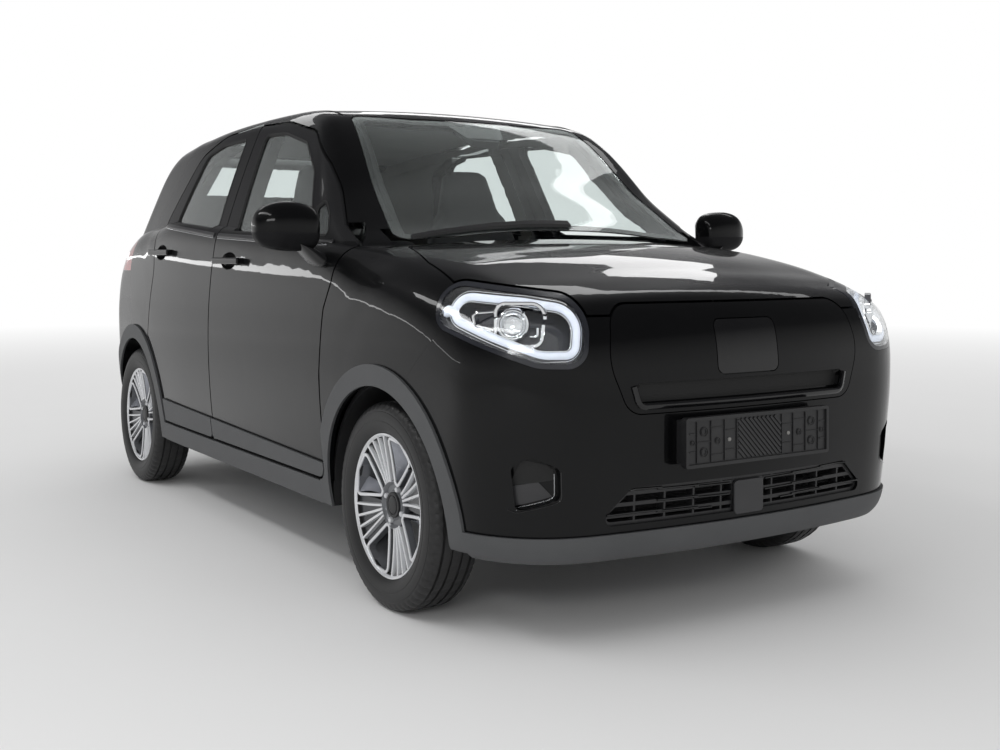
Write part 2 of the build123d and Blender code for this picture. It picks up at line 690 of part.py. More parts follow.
# ---------------------------------------------------------------- front end
def bonnet_space(gap):
    """The space above the bonnet's outline."""
    space = top_prism(outline(BONNET, gap), BONNET_EDGE_Z - gap, 1300)
    for lamp in both_sides(lamp_prism(SHUT_GAP - gap)):
        space = cut(space, lamp)
    return cut(space, front_prism(outline(NOSE_PANEL, SHUT_GAP - gap), 1300, 1900))


def bonnet():
    return keep(lower_layer(0.0, BONNET_THICKNESS), bonnet_space(0))


def fender():
    """The left front wing."""
    space = side_prism(outline(FENDER, -0.15), 300, 900) & block(745 + 3, 1700, 380, 900, SILL_TOP_Z, 1200)
    panel = keep(lower_layer(0.0, SKIN), space)
    panel = cut(panel, side_prism(front_aperture(DOOR_GAP / 2), 300, 950))
    panel = cut(panel, bonnet_space(SHUT_GAP))
    panel = cut(panel, lamp_prism(LAYER_GAP), *wheel_wells(FRONT_WELL_Y, FRONT_AXLE_X))
    panel = cut(panel, upper(-LAYER_GAP))
    panel = cut(panel, block(700, 935, 0, 640, 900, 1200))
    return panel


def front_bumper():
    skin = keep(lower_layer(0.0, BUMPER_THICKNESS), block(1200, 1900, -900, 900, LIP_TOP_Z + 0.3, 1000))
    for solid in both_sides(side_prism(outline(FENDER, 0.15), 200, 950)):
        skin = cut(skin, solid)
    for solid in both_sides(lamp_prism(LAYER_GAP)):
        skin = cut(skin, solid)
    skin = cut(skin, bonnet_space(SHUT_GAP))
    skin = cut(skin, front_prism(outline(NOSE_PANEL, 3), 1300, 1900))
    skin = cut(skin, front_prism(outline(GRILLE), 1300, 1900))
    for solid in both_sides(front_prism(outline(CORNER_RECESS), 1300, 1900) - lower(BUMPER_THICKNESS - 8)):
        skin = cut(skin, solid)
    for well in wheel_wells(FRONT_WELL_Y, FRONT_AXLE_X):
        skin = cut(skin, well)
    return skin


FLAP = [(-112, 696, 22), (-112, 842, 22), (112, 842, 22), (112, 696, 22)]
FLAP_THICKNESS = 8.0
INTAKE = [(-375, 628, 14), (-390, 684, 16), (390, 684, 16), (375, 628, 14)]


def nose_panel():
    panel = keep(lower_layer(0.0, BUMPER_THICKNESS), front_prism(outline(NOSE_PANEL), 1400, 1900))
    panel = cut(panel, front_prism(outline(FLAP, 3), 1500, 1900) - lower(FLAP_THICKNESS + 3))
    panel = cut(panel, front_prism(outline(INTAKE), 1500, 1900) - lower(BUMPER_THICKNESS - 7))
    pad = x_cylinder(70, 769, 8, 1600, 1900) & lower(FLAP_THICKNESS + LAYER_GAP)
    return panel + cut(pad, lower(FLAP_THICKNESS + 6))


def charge_flap():
    return keep(lower_layer(0.0, FLAP_THICKNESS), front_prism(outline(FLAP), 1500, 1900))


def lower_grille():
    """Slats and dividers across the lower opening, with a square sensor cover."""
    frame = keep(lower_layer(10.0, 40.0), front_prism(outline(GRILLE, -0.3), 1300, 1900))
    slats = None
    for z in (342, 370, 398):
        bar = front_prism(outline([(-600, z - 5), (600, z - 5), (600, z + 5), (-600, z + 5)]), 1300, 1900)
        slats = bar if slats is None else slats + bar
    for y in (-380, -285, -190, -95, 95, 190, 285, 380):
        slats += block(1300, 1900, y - 3, y + 3, 318, 415)
    slats += block(1300, 1900, -58, 58, 318, 404)
    rim = front_prism(outline(GRILLE, -0.3), 1300, 1900) - front_prism(outline(GRILLE, -9), 1300, 1900)
    return frame & (slats + rim)


def front_lip():
    """The lip that runs under the front bumper from wheel to wheel."""
    lip = keep(lower_layer(-TRIM_PROUD, 40.0), block(1300, 1900, -900, 900, BUMPER_BOTTOM_Z, LIP_TOP_Z))
    for side in both_sides(y_cylinder(FRONT_AXLE_X, AXLE_Z, ARCH_TRIM_RADIUS, 200, 950)):
        lip = cut(lip, side)
    return lip


PLATE_WIDTH = 532.0
PLATE_HEIGHT = 132.0
PLATE_Z = 524.0
PLATE_FACE_X = FRONT_FACE_X - 6.0


def plate_holder():
    """The front plate carrier: a wedge that stands on the bumper, with a framed back plate and screw holes."""
    half, top = PLATE_WIDTH / 2, PLATE_HEIGHT / 2
    carrier = block(1700, PLATE_FACE_X, -half + 8, half - 8, PLATE_Z - top + 8, PLATE_Z + top - 8)
    carrier = cut(carrier, lower(-LAYER_GAP))
    frame = block(PLATE_FACE_X - 14, FRONT_FACE_X, -half, half, PLATE_Z - top, PLATE_Z + top)
    frame = fillet(frame.edges().filter_by(Axis.X), 8)
    frame = cut(frame, block(PLATE_FACE_X, FRONT_FACE_X, -half + 9, half - 9, PLATE_Z - top + 9, PLATE_Z + top - 9))
    holder = carrier + frame
    for y in (-110, 110):
        holder = cut(holder, x_cylinder(y, PLATE_Z, 3.0, PLATE_FACE_X - 20, FRONT_FACE_X))
    return holder


LAMP_DEPTH = 60.0
DRL_WIDTH = 14.0
PROJECTOR = (1500.0, 528.0, 838.0)
PROJECTOR_RADIUS = 36.0


def headlamp():
    """The left headlamp: a dished housing with its light ring and projector, behind its clear lens."""
    housing = keep(lower_layer(0.0, LAMP_DEPTH + 30.0), lamp_prism(0))
    housing = cut(housing, keep(lower_layer(-20.0, LAMP_DEPTH), lamp_prism(-12)))
    ring = cut(lamp_prism(-12.5), lamp_prism(-12.5 - DRL_WIDTH))
    housing += keep(lower_layer(16.0, LAMP_DEPTH + 5), ring)
    out = Rot(0, 0, HEADLAMP_AZIMUTH)
    tube = Cylinder(PROJECTOR_RADIUS, 120) - Pos(0, 0, 56) * Cylinder(PROJECTOR_RADIUS - 5, 20)
    barrel = Pos(*PROJECTOR) * out * Rot(0, 90, 0) * tube
    lens = Pos(*PROJECTOR) * out * Pos(30, 0, 0) * Sphere(PROJECTOR_RADIUS - 4)
    return housing + (barrel & lower_layer(14.0, LAMP_DEPTH + 5)) + (lens & lower_layer(18.0, LAMP_DEPTH + 5))


def headlamp_lens():
    return keep(lower_layer(0.0, 4.0), lamp_prism(-12.3))


LINER_PLAN = [(700, 300), (700, 776), (1250, 772), (1400, 758), (1500, 728), (1500, 300)]


def front_body():
    """The structure round the motor bay: bulkhead, wheel liners, rails, cross members and strut towers."""
    x = FRONT_AXLE_X
    liner = y_cylinder(x, AXLE_Z, ARCH_RADIUS + LINER, FRONT_WELL_Y - LINER, 780)
    liner &= top_prism(outline(LINER_PLAN), SILL_BOTTOM_Z, TOWER_TOP_Z)
    tower = z_cylinder(x, STRUT_Y, TOWER_RADIUS, 620, TOWER_TOP_Z)
    side = liner + tower + block(755, 1640, 360, FRONT_WELL_Y - 1, 340, 450)
    side = cut(side, z_cylinder(x, STRUT_Y, TOWER_RADIUS - 8, 600, TOWER_TOP_Z - 10))
    side = cut(side, wheel_wells(FRONT_WELL_Y, x)[0])
    side += z_cylinder(x, STRUT_Y + 60, 10, TOWER_TOP_Z - 5, 1100) & lower(BONNET_THICKNESS + LAYER_GAP)
    side += x_cylinder(300, 640, 12, 1595, 1900) & lower(BUMPER_THICKNESS + LAYER_GAP)
    solid = block(735, 768, -CABIN_Y + SEAT_GAP, CABIN_Y - SEAT_GAP, SILL_BOTTOM_Z, 1000)
    solid += block(1600, 1660, -560, 560, 470, 560)
    solid += block(1560, 1600, -420, 420, 300, 770)
    solid += block(1590, 1640, -480, 480, 760, 810)
    solid += block(755, 1640, -FRONT_WELL_Y + 1, FRONT_WELL_Y - 1, SILL_BOTTOM_Z, SILL_BOTTOM_Z + 8)
    solid += block(1080, 1280, -165, -55, SILL_BOTTOM_Z + 4, MOTOR_BOTTOM_Z - SEAT_GAP)
    for half in both_sides(side):
        solid += half
    return solid


def cowl():
    """The scuttle between the bonnet and the windscreen, with the top of the bulkhead below it."""
    panel = keep(lower_layer(20.0, 60.0), block(800, 928, -596, 596, 960, 1150))
    shell = upper_layer(SCREEN_RECESS - LAYER_GAP, SCREEN_RECESS + GLASS_THICKNESS + LAYER_GAP)
    panel = cut(panel, keep(shell, block(700, 1100, -900, 900, 1006, 1200)))
    wall = block(735.5, 801, -CABIN_Y + SEAT_GAP, CABIN_Y - SEAT_GAP, 1000.5, 1030)
    return Compound([solid for solid in solids_of(panel + wall) if solid.volume > 1000])


# ---------------------------------------------------------------- rear end and trims
def rear_bumper():
    skin = keep(lower_layer(0.0, BUMPER_THICKNESS), side_prism(outline(REAR_BUMPER), -900, 900))
    for well in wheel_wells(REAR_WELL_Y, REAR_AXLE_X):
        skin = cut(skin, well)
    return skin - tailgate_space()


def tail_lamp():
    lamp = keep(lower_layer(0.0, BUMPER_THICKNESS), front_prism(outline(TAIL_LAMP), -1900, TAIL_LAMP_X - 0.5))
    return cut(lamp, tailgate_space())


def lower_trim():
    """The left arch trims and sill trim, as solids that stand proud of the skin."""
    layer = lower_layer(-TRIM_PROUD, -LAYER_GAP)
    rings = []
    for x in (FRONT_AXLE_X, REAR_AXLE_X):
        ring = y_cylinder(x, AXLE_Z, ARCH_TRIM_RADIUS, 600, 900) - y_cylinder(x, AXLE_Z, ARCH_RADIUS, 590, 910)
        ring = cut(ring, side_prism(front_aperture(DOOR_GAP / 2), 500, 980))
        rings.append(keep(layer, ring & block(-1800, 1600, 600, 900, BUMPER_BOTTOM_Z + 14, 760)))
    sill = keep(layer, block(REAR_AXLE_X, FRONT_AXLE_X, 600, 900, SILL_BOTTOM_Z, SILL_TOP_Z - 8))
    for x in (FRONT_AXLE_X, REAR_AXLE_X):
        sill = cut(sill, y_cylinder(x, AXLE_Z, ARCH_TRIM_RADIUS + SEAT_GAP, 590, 910))
    return rings + [sill]


# ---------------------------------------------------------------- floor and drive
def floor_pan():
    half = CABIN_Y - SEAT_GAP
    low = block(-930, 735 - SEAT_GAP, -half, half, FLOOR_Z - FLOOR_THICKNESS, FLOOR_Z)
    riser = block(-954, -930, -REAR_WELL_Y + LINER + 1, REAR_WELL_Y - LINER - 1, FLOOR_Z - FLOOR_THICKNESS, LOAD_FLOOR_Z)
    load = block(-1700, -940, -REAR_WELL_Y + LINER + 1, REAR_WELL_Y - LINER - 1, LOAD_FLOOR_Z - 24, LOAD_FLOOR_Z)
    return low + riser + load


def battery():
    solid = block(-860, 640, -540, 540, 158, FLOOR_Z - FLOOR_THICKNESS - SEAT_GAP)
    return chamfer(solid.faces().sort_by(Axis.Z)[0].edges(), 22)


def motor():
    unit = round_block(1040, 1320, -200, 170, MOTOR_BOTTOM_Z, 560, 30)
    gears = y_cylinder(1130, 360, 105, -40, 250)
    inverter = round_block(1020, 1360, -240, 240, 580, 740, 18)
    stand = block(1080, 1280, -120, 120, 540, 600)
    return unit + gears + inverter + stand


# ---------------------------------------------------------------- wheels and suspension
def tyre(x):
    """A left tyre, round in the shoulder and narrower at its bead."""
    half = TYRE_WIDTH / 2
    r = TYRE_RADIUS
    bead, crown, lip = half - 20.5, half - 24.5, RIM_RADIUS + FLANGE + 1
    solid = turned([
        (-bead, RIM_RADIUS + SEAT_GAP), (-bead, lip), (-half + 6, lip), (-half + 2, r - 66), (-half + 3, r - 28),
        (-crown, r), (crown, r), (half - 3, r - 28), (half - 2, r - 66), (half - 6, lip), (bead, lip),
        (bead, RIM_RADIUS + SEAT_GAP),
    ])  # fmt: skip
    return Pos(x, WHEEL_Y, AXLE_Z) * Rot(0, 0, 90) * solid


FLANGE = 15.0
RIM_HALF = 70.0
FANS = 4
PETAL = [(64, -10), (64, 10), (118, 14), (158, 17), (173, 13), (173, -13), (158, -17), (118, -14)]
SLOT = [(76, -2.2), (76, 2.2), (168, 4.6), (168, -4.6)]
SLOT_PITCH = 14.6
LUG_CIRCLE_RADIUS = 50.0
LUG_RADIUS = 11.0


def polar_outline(points, turn):
    """A flat face from corners (radius, angle), turned about the origin."""
    angles = [(r, math.radians(angle + turn)) for r, angle in points]
    return outline([(r * math.cos(a), r * math.sin(a)) for r, a in angles])


def turned(points):
    """A ring turned about X from points (x, radius)."""
    return revolve(Face(Wire.make_polygon([(a, r, 0) for a, r in points])), axis=Axis.X)


def rim(x):
    """A left rim: barrel, brake disc and a face of four wide windows between fans of thin ribs."""
    r = RIM_RADIUS
    half = RIM_HALF
    top = r + FLANGE
    solid = turned([
        (-half, top), (-half, r - 10), (-20, r - 26), (half - 18, r - 26), (half, r - 6), (half, top),
        (half - 7, top), (half - 7, r), (half - 26, r), (-20, r - 18), (-half + 20, r), (-half + 7, r),
        (-half + 7, top),
    ])  # fmt: skip
    face = turned([
        (38, 0), (44, 0), (45, 58), (62, 180), (36, 182), (16, 60), (16, STUB_RADIUS + 1), (38, STUB_RADIUS + 1),
    ])  # fmt: skip
    tools = []
    for i in range(FANS):
        middle = 360 / FANS * i
        windows = [polar_outline(PETAL, middle)]
        windows += [polar_outline(SLOT, middle + 180 / FANS + SLOT_PITCH * k) for k in (-1, 0, 1)]
        tools += [top_prism(w, 0, 80) for w in windows]
        tools.append(Rot(0, 0, middle) * z_cylinder(LUG_CIRCLE_RADIUS, 0, LUG_RADIUS, 30, 80))
    face = cut(face, [Rot(0, 90, 0) * tool for tool in tools])
    solid += face
    bore = STUB_RADIUS + STUB_CLEARANCE
    solid += turned([(-48, bore), (-48, 60), (20, 60), (20, bore)])
    solid += turned([(-60, bore), (-60, 128), (-40, 128), (-40, bore)])
    return Pos(x, WHEEL_Y, AXLE_Z) * Rot(0, 0, 90) * solid


def knuckle():
    """The left front knuckle: an upright with its stub axle, caliper, strut and spring."""
    x, z = FRONT_AXLE_X, AXLE_Z
    upright = block(x - 34, x + 34, 600, 640, z - 90, z + 120)
    upright += y_cylinder(x, z, STUB_RADIUS, 620, 742)
    upright += y_cylinder(x, z, 42, 620, 642)
    upright += z_cylinder(x, KINGPIN_Y, 14, z - 148, z - 134)
    upright += block(x - 14, x + 14, 612, KINGPIN_Y, z - 146, z - 135)
    upright += block(x - 14, x + 14, 608, 632, z - 146, z - 80)
    upright += z_cylinder(x, STRUT_Y, 24, z + 60, 600)
    upright += z_cylinder(x, STRUT_Y, 11, 590, TOWER_TOP_Z - 10 - SEAT_GAP)
    for z0 in range(606, 740, 33):
        upright += z_cylinder(x, STRUT_Y, 51, z0, z0 + 12)
    caliper = block(x - 150, x - 96, 620, 686, z - 30, z + 40)
    caliper += block(x - 100, x - 10, 606, 632, z - 20, z + 40)
    caliper = cut(caliper, y_cylinder(x, z, 133, 642, 672))
    return upright + caliper


def front_subframe():
    """The cross member and lower arms under the motor bay."""
    solid = round_block(1000, 1240, -330, 330, 190, SILL_BOTTOM_Z - SEAT_GAP, 10)
    for s in (-1, 1):
        arm = Polyline((1060, s * 300), (1200, s * 300), (1140, s * 655), (1100, s * 655), close=True)
        solid += extrude(Plane.XY.offset(134) * make_face(arm), amount=16 - SEAT_GAP)
        solid += block(1050, 1210, s * 280, s * 330, 134, 200)
    return solid


def rear_axle():
    """The torsion beam with its arms, springs, dampers and stub axles."""
    z = AXLE_Z
    solid = Pos(-1080, 0, z) * Rot(90, 0, 0) * Cylinder(34, 1000)
    for s in (-1, 1):
        solid += block(-1300, -960, s * 500, s * 545, z - 30, z + 30)
        solid += block(-1320, -1240, s * 500, s * 640, z - 40, z + 40)
        solid += y_cylinder(REAR_AXLE_X, z, STUB_RADIUS, s * 600, s * 742)
        solid += z_cylinder(-1180, s * 500, 45, z, LOAD_FLOOR_Z - 24 - SEAT_GAP)
    return solid


# ---------------------------------------------------------------- cabin
def seat(y, x, width, depth, back):
    """A seat with a cushion, a reclined back and an integrated head restraint."""
    half = width / 2
    side = [
        (x - depth / 2, 380), (x + depth / 2, 395, 40), (x + depth / 2 - 10, 520, 45), (x - depth / 2 + 120, 490, 30),
        (x - depth / 2 - 80, back, 40), (x - depth / 2 - 190, back, 40), (x - depth / 2 - 60, 400, 50),
    ]  # fmt: skip
    shape = side_prism(outline(side), y - half, y + half)
    head = side_prism(outline([
        (x - depth / 2 - 90, back - 20), (x - depth / 2 - 105, back + 190, 40), (x - depth / 2 - 200, back + 190, 40),
        (x - depth / 2 - 185, back - 20),
    ]), y - 140, y + 140)  # fmt: skip
    return shape + head


def front_seats():
    solids = []
    for y in (-330, 330):
        base = block(-80, 330, y - 200, y + 200, FLOOR_Z + SEAT_GAP, 396)
        solids.append(seat(y, 120, 500, 500, 960) + base)
    return solids


def rear_bench():
    bench = seat(0, -620, 1180, 460, 900)
    return bench + block(-850, -420, -560, 560, FLOOR_Z + SEAT_GAP, 400)


def dashboard():
    side = outline([
        (560, 700, 60), (520, 850, 50), (560, 985, 40), (700, 1018, 40), (734.5, 1018), (734.5, 700), (700, 640, 25),
    ])  # fmt: skip
    panel = side_prism(side, -CABIN_Y + 2, CABIN_Y - 2)
    column = Pos(0, 0, -120) * Cylinder(COLUMN_RADIUS + SEAT_GAP, 240)
    return cut(panel, steering_place() * column)


STEERING_CENTRE = (440.0, 330.0, 905.0)
STEERING_TILT = 28.0
STEERING_RADIUS = 178.0
COLUMN_RADIUS = 30.0


def steering_place():
    """The steering wheel's own frame, with Z along its column towards the driver."""
    return Pos(*STEERING_CENTRE) * Rot(0, -90 + STEERING_TILT, 0)


def steering_wheel():
    grip = Pos(STEERING_RADIUS, 0, 0) * Rot(90, 0, 0) * RegularPolygon(15, 8)
    wheel = revolve(grip, axis=Axis.Z) + Cylinder(52, 34)
    for a in (0, 180, 270):
        wheel += Rot(0, 0, a) * Pos(108, 0, 0) * Box(140, 30, 14)
    wheel += Pos(0, 0, -75) * Cylinder(COLUMN_RADIUS, 120)
    return steering_place() * wheel


def headliner():
    space = block(-1300, 200, -ROOF_HALF_WIDTH, ROOF_HALF_WIDTH, 1300, 1700)
    return keep(upper_layer(ROOF_THICKNESS + LAYER_GAP, ROOF_THICKNESS + 14.0), space)


def windscreen_wiper():
    """One long wiper parked at the foot of the windscreen."""
    arm = outline([(898, 40), (886, -560), (872, -560), (878, 40)])
    return keep(upper_layer(-12.0, SCREEN_RECESS - LAYER_GAP), top_prism(arm, 1060, 1300))


# ---------------------------------------------------------------- build
def parts():
    """Every sub-part, by the name of its file."""
    front_door = door(front_aperture, FRONT_WINDOWS) - handle_cup(FRONT_HANDLE) + door_handle(FRONT_HANDLE)
    rear_door = door(rear_aperture, REAR_WINDOWS) - handle_cup(REAR_HANDLE) + door_handle(REAR_HANDLE)
    pairs = {
        "side_frame": side_frame(),
        "front_door": front_door,
        "rear_door": rear_door,
        "front_door_glass": Compound(children=door_glass(FRONT_WINDOWS)),
        "rear_door_glass": Compound(children=door_glass(REAR_WINDOWS)),
        "front_door_cladding": door_cladding(front_aperture),
        "rear_door_cladding": door_cladding(rear_aperture),
        "mirror": door_mirror(),
        "knuckle": knuckle(),
    }
    for place, x in (("front", FRONT_AXLE_X), ("rear", REAR_AXLE_X)):
        pairs[f"{place}_tyre"] = tyre(x)
        pairs[f"{place}_rim"] = rim(x)
    for name, solid in pairs.items():
        yield f"{name}_left", solid
        yield f"{name}_right", mirror(solid, about=Plane.XZ)
    yield "roof_panel", roof_panel()
    yield "windscreen", windscreen()
    yield "tailgate", tailgate()
    yield "tailgate_glass", tailgate_glass()
    yield "bonnet", bonnet()
    yield "front_fenders", Compound(children=both_sides(fender()))
    yield "front_bumper", front_bumper()
    yield "nose_panel", nose_panel()
    yield "charge_flap", charge_flap()
    yield "lower_grille", lower_grille()
    yield "front_lip", front_lip()
    yield "plate_holder", plate_holder()
    yield "headlamps", Compound(children=both_sides(headlamp()))
    yield "headlamp_lenses", Compound(children=both_sides(headlamp_lens()))
    yield "front_body", front_body()
    yield "cowl", cowl()
    yield "rear_bumper", rear_bumper()
    yield "tail_lamps", Compound(children=both_sides(tail_lamp()))
    yield "lower_trim", Compound(children=[s for trim in lower_trim() for s in both_sides(trim)])
    yield "floor_pan", floor_pan()
    yield "battery", battery()
    yield "motor", motor()
    yield "front_subframe", front_subframe()
    yield "rear_axle", rear_axle()
    yield "front_seats", Compound(children=front_seats())
    yield "rear_bench", rear_bench()
    yield "dashboard", dashboard()
    yield "steering_wheel", steering_wheel()
    yield "headliner", headliner()
    yield "wiper", windscreen_wiper()


def main():
    os.makedirs("parts", exist_ok=True)
    for name, solid in parts():
        export_step(solid, f"parts/{name}.step", write_pcurves=False)


main()
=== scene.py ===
"""City car: looks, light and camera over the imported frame. Metres, +X forwards, +Y left, +Z up."""
import math

import bmesh
import bpy
from mathutils import Matrix, Vector
from mathutils.bvhtree import BVHTree


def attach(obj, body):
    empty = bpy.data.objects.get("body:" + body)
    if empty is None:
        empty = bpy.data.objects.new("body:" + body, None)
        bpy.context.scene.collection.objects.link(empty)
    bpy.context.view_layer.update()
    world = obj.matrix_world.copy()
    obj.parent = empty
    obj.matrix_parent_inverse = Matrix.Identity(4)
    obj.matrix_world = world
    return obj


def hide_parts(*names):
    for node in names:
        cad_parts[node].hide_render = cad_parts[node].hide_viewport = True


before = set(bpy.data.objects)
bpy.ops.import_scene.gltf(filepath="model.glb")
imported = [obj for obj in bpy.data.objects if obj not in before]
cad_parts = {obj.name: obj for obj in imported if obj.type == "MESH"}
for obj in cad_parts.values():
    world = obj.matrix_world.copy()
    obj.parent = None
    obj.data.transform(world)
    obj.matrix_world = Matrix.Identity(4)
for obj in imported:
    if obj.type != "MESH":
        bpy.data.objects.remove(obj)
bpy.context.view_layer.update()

SIDES = {"left": 1.0, "right": -1.0}
LAMP_TURN = 40.0  # degrees that a headlamp's own view turns outwards
BELT_LINES = ((-0.036, 1.088), (-0.068, 1.078))  # over the front and the rear door: slope along x, height at x = 0
MIRROR_SPLIT = 1.086  # height where a mirror's painted shell meets its foot
GLASS_IOR = 1.33
scene = bpy.context.scene
scene.view_settings.view_transform = "Standard"


# ======== materials
MATERIALS = {}


def node_material(name):
    """A new material, kept under its name in MATERIALS: its node tree and its shader."""
    material = MATERIALS[name] = bpy.data.materials.new(name)
    material.use_nodes = True
    return material.node_tree, material.node_tree.nodes["Principled BSDF"]


def give(node, values):
    """Sets a node's own sockets by name."""
    for name, value in values.items():
        node.inputs[name].default_value = value


def object_noise(tree, scale, detail, rough=0.55):
    """A noise value in the piece's own metres."""
    coord = tree.nodes.new("ShaderNodeTexCoord")
    noise = tree.nodes.new("ShaderNodeTexNoise")
    give(noise, {"Scale": scale, "Detail": detail, "Roughness": rough})
    tree.links.new(coord.outputs["Object"], noise.inputs["Vector"])
    return noise.outputs["Fac"]


def ramp_between(tree, value, low, high, start=0.3, end=0.7):
    """Colour that runs from low at start to high at end as value rises."""
    ramp = tree.nodes.new("ShaderNodeValToRGB")
    for element, place, colour in zip(ramp.color_ramp.elements, (start, end), (low, high)):
        element.position, element.color = place, (*colour, 1)
    tree.links.new(value, ramp.inputs["Fac"])
    return ramp.outputs["Color"]


def near(tree, value, colour, share):
    """A colour that drifts between a share of itself and the whole."""
    return ramp_between(tree, value, tuple(share * c for c in colour), colour)


def math_node(tree, operation, a, b=0.0, c=0.0):
    """One math step; each input is a socket or a number."""
    node = tree.nodes.new("ShaderNodeMath")
    node.operation = operation
    for socket, value in zip(node.inputs, (a, b, c)):
        if isinstance(value, (int, float)):
            socket.default_value = value
        else:
            tree.links.new(value, socket)
    return node.outputs[0]


def between(tree, value, start, end, low=0.0, high=1.0):
    """Runs from low at start to high at end."""
    node = tree.nodes.new("ShaderNodeMapRange")
    give(node, {"From Min": start, "From Max": end, "To Min": low, "To Max": high})
    tree.links.new(value, node.inputs["Value"])
    return node.outputs["Result"]


def mixed(tree, mask, a, b, colour=True):
    """a where the mask is 0 and b where it is 1."""
    node = tree.nodes.new("ShaderNodeMix")
    node.data_type = "RGBA" if colour else "FLOAT"
    first, second, result = (6, 7, 2) if colour else (2, 3, 0)
    tree.links.new(mask, node.inputs[0])
    for index, value in ((first, a), (second, b)):
        if isinstance(value, (int, float)):
            node.inputs[index].default_value = value
        else:
            tree.links.new(value, node.inputs[index])
    return node.outputs[result]


def mixed_shaders(tree, share, first, second):
    """The first shader where share is 0 and the second where it is 1."""
    mix = tree.nodes.new("ShaderNodeMixShader")
    for socket, value in zip(mix.inputs, (share, first, second)):
        tree.links.new(value, socket)
    return mix.outputs["Shader"]


def looks(tree):
    """The Light Path node, and a value that is 1 where the camera looks, also through glass."""
    path = tree.nodes.new("ShaderNodeLightPath")
    return path, math_node(tree, "MAXIMUM", path.outputs["Is Camera Ray"], path.outputs["Is Transmission Ray"])


def place_of(tree):
    """The point's own x, y and z, in the piece's metres."""
    coord = tree.nodes.new("ShaderNodeTexCoord")
    split = tree.nodes.new("ShaderNodeSeparateXYZ")
    tree.links.new(coord.outputs["Object"], split.inputs[0])
    return split.outputs


def add_bump(tree, shader, height, strength, distance):
    bump = tree.nodes.new("ShaderNodeBump")
    give(bump, {"Strength": strength, "Distance": distance})
    tree.links.new(height, bump.inputs["Height"])
    tree.links.new(bump.outputs["Normal"], shader.inputs["Normal"])


def surface(name, low, high, rough=(0.4, 0.5), metallic=0.0, coat=0.0, coat_ior=1.5, grain=900.0,
            bump=0.2, depth=0.0002, drift=6.0, sheen=0.0, specular=0.5, over=None, mask=None):
    """Colour and roughness that drift slowly, with a fine grain; over is a second finish where mask is 1."""
    tree, shader = node_material(name)
    slow = object_noise(tree, drift, 3.0)
    colour = ramp_between(tree, slow, low, high)
    roughness = between(tree, slow, 0.0, 1.0, *rough)
    give(shader, {"Metallic": metallic, "Coat Weight": coat, "Coat Roughness": 0.02, "Coat IOR": coat_ior,
                  "Sheen Weight": sheen, "Specular IOR Level": specular})
    if over:
        where = mask(tree)
        colour = mixed(tree, where, colour, ramp_between(tree, slow, over["low"], over["high"]))
        roughness = mixed(tree, where, roughness, between(tree, slow, 0.0, 1.0, *over["rough"]), False)
        if over["coat"] != coat:
            tree.links.new(mixed(tree, where, coat, over["coat"], False), shader.inputs["Coat Weight"])
    tree.links.new(colour, shader.inputs["Base Color"])
    tree.links.new(roughness, shader.inputs["Roughness"])
    add_bump(tree, shader, object_noise(tree, grain, 2.0, 0.5), bump, depth)


def clear_glass(name, tint, shadow):
    """Glass that lets the lamps through to what is behind it, dimmed to the shadow's colour."""
    tree, shader = node_material(name)
    tree.links.new(near(tree, object_noise(tree, 3.0, 2.0), tint, 0.97), shader.inputs["Base Color"])
    give(shader, {"Transmission Weight": 1.0, "Roughness": 0.0, "IOR": GLASS_IOR})
    path = tree.nodes.new("ShaderNodeLightPath")
    through = tree.nodes.new("ShaderNodeBsdfTransparent")
    give(through, {"Color": (*shadow, 1)})
    both = mixed_shaders(tree, path.outputs["Is Shadow Ray"], shader.outputs["BSDF"], through.outputs["BSDF"])
    tree.links.new(both, tree.nodes["Material Output"].inputs["Surface"])


def glowing(name, colour, strength):
    """White translucent plastic with light in it."""
    tree, shader = node_material(name)
    slow = object_noise(tree, 40.0, 2.0)
    tree.links.new(near(tree, slow, colour, 0.94), shader.inputs["Base Color"])
    tree.links.new(near(tree, slow, colour, 0.9), shader.inputs["Emission Color"])
    give(shader, {"Emission Strength": strength, "Roughness": 0.25})


def above_belt(tree):
    """1 on the window frame of a door, over the belt line."""
    x, _, z = place_of(tree)
    front, rear = (math_node(tree, "MULTIPLY_ADD", x, slope, height) for slope, height in BELT_LINES)
    return between(tree, math_node(tree, "SUBTRACT", z, math_node(tree, "MAXIMUM", front, rear)), -0.0005, 0.0005)


def mirror_foot(tree):
    """1 on the lower shell and stalk of a door mirror."""
    return between(tree, place_of(tree)[2], MIRROR_SPLIT + 0.0005, MIRROR_SPLIT - 0.0005)


def cabin_side(tree):
    """1 on the inner faces of a body side, above the belt."""
    coord = tree.nodes.new("ShaderNodeTexCoord")
    normal = tree.nodes.new("ShaderNodeSeparateXYZ")
    tree.links.new(coord.outputs["Normal"], normal.inputs[0])
    x, y, z = place_of(tree)
    inwards = math_node(tree, "MULTIPLY", normal.outputs[1], math_node(tree, "SIGN", y))
    inner = math_node(tree, "MULTIPLY", between(tree, inwards, -0.10, -0.14), between(tree, z, 0.70, 0.705))
    return math_node(tree, "MULTIPLY", inner, between(tree, x, 0.25, 0.24))


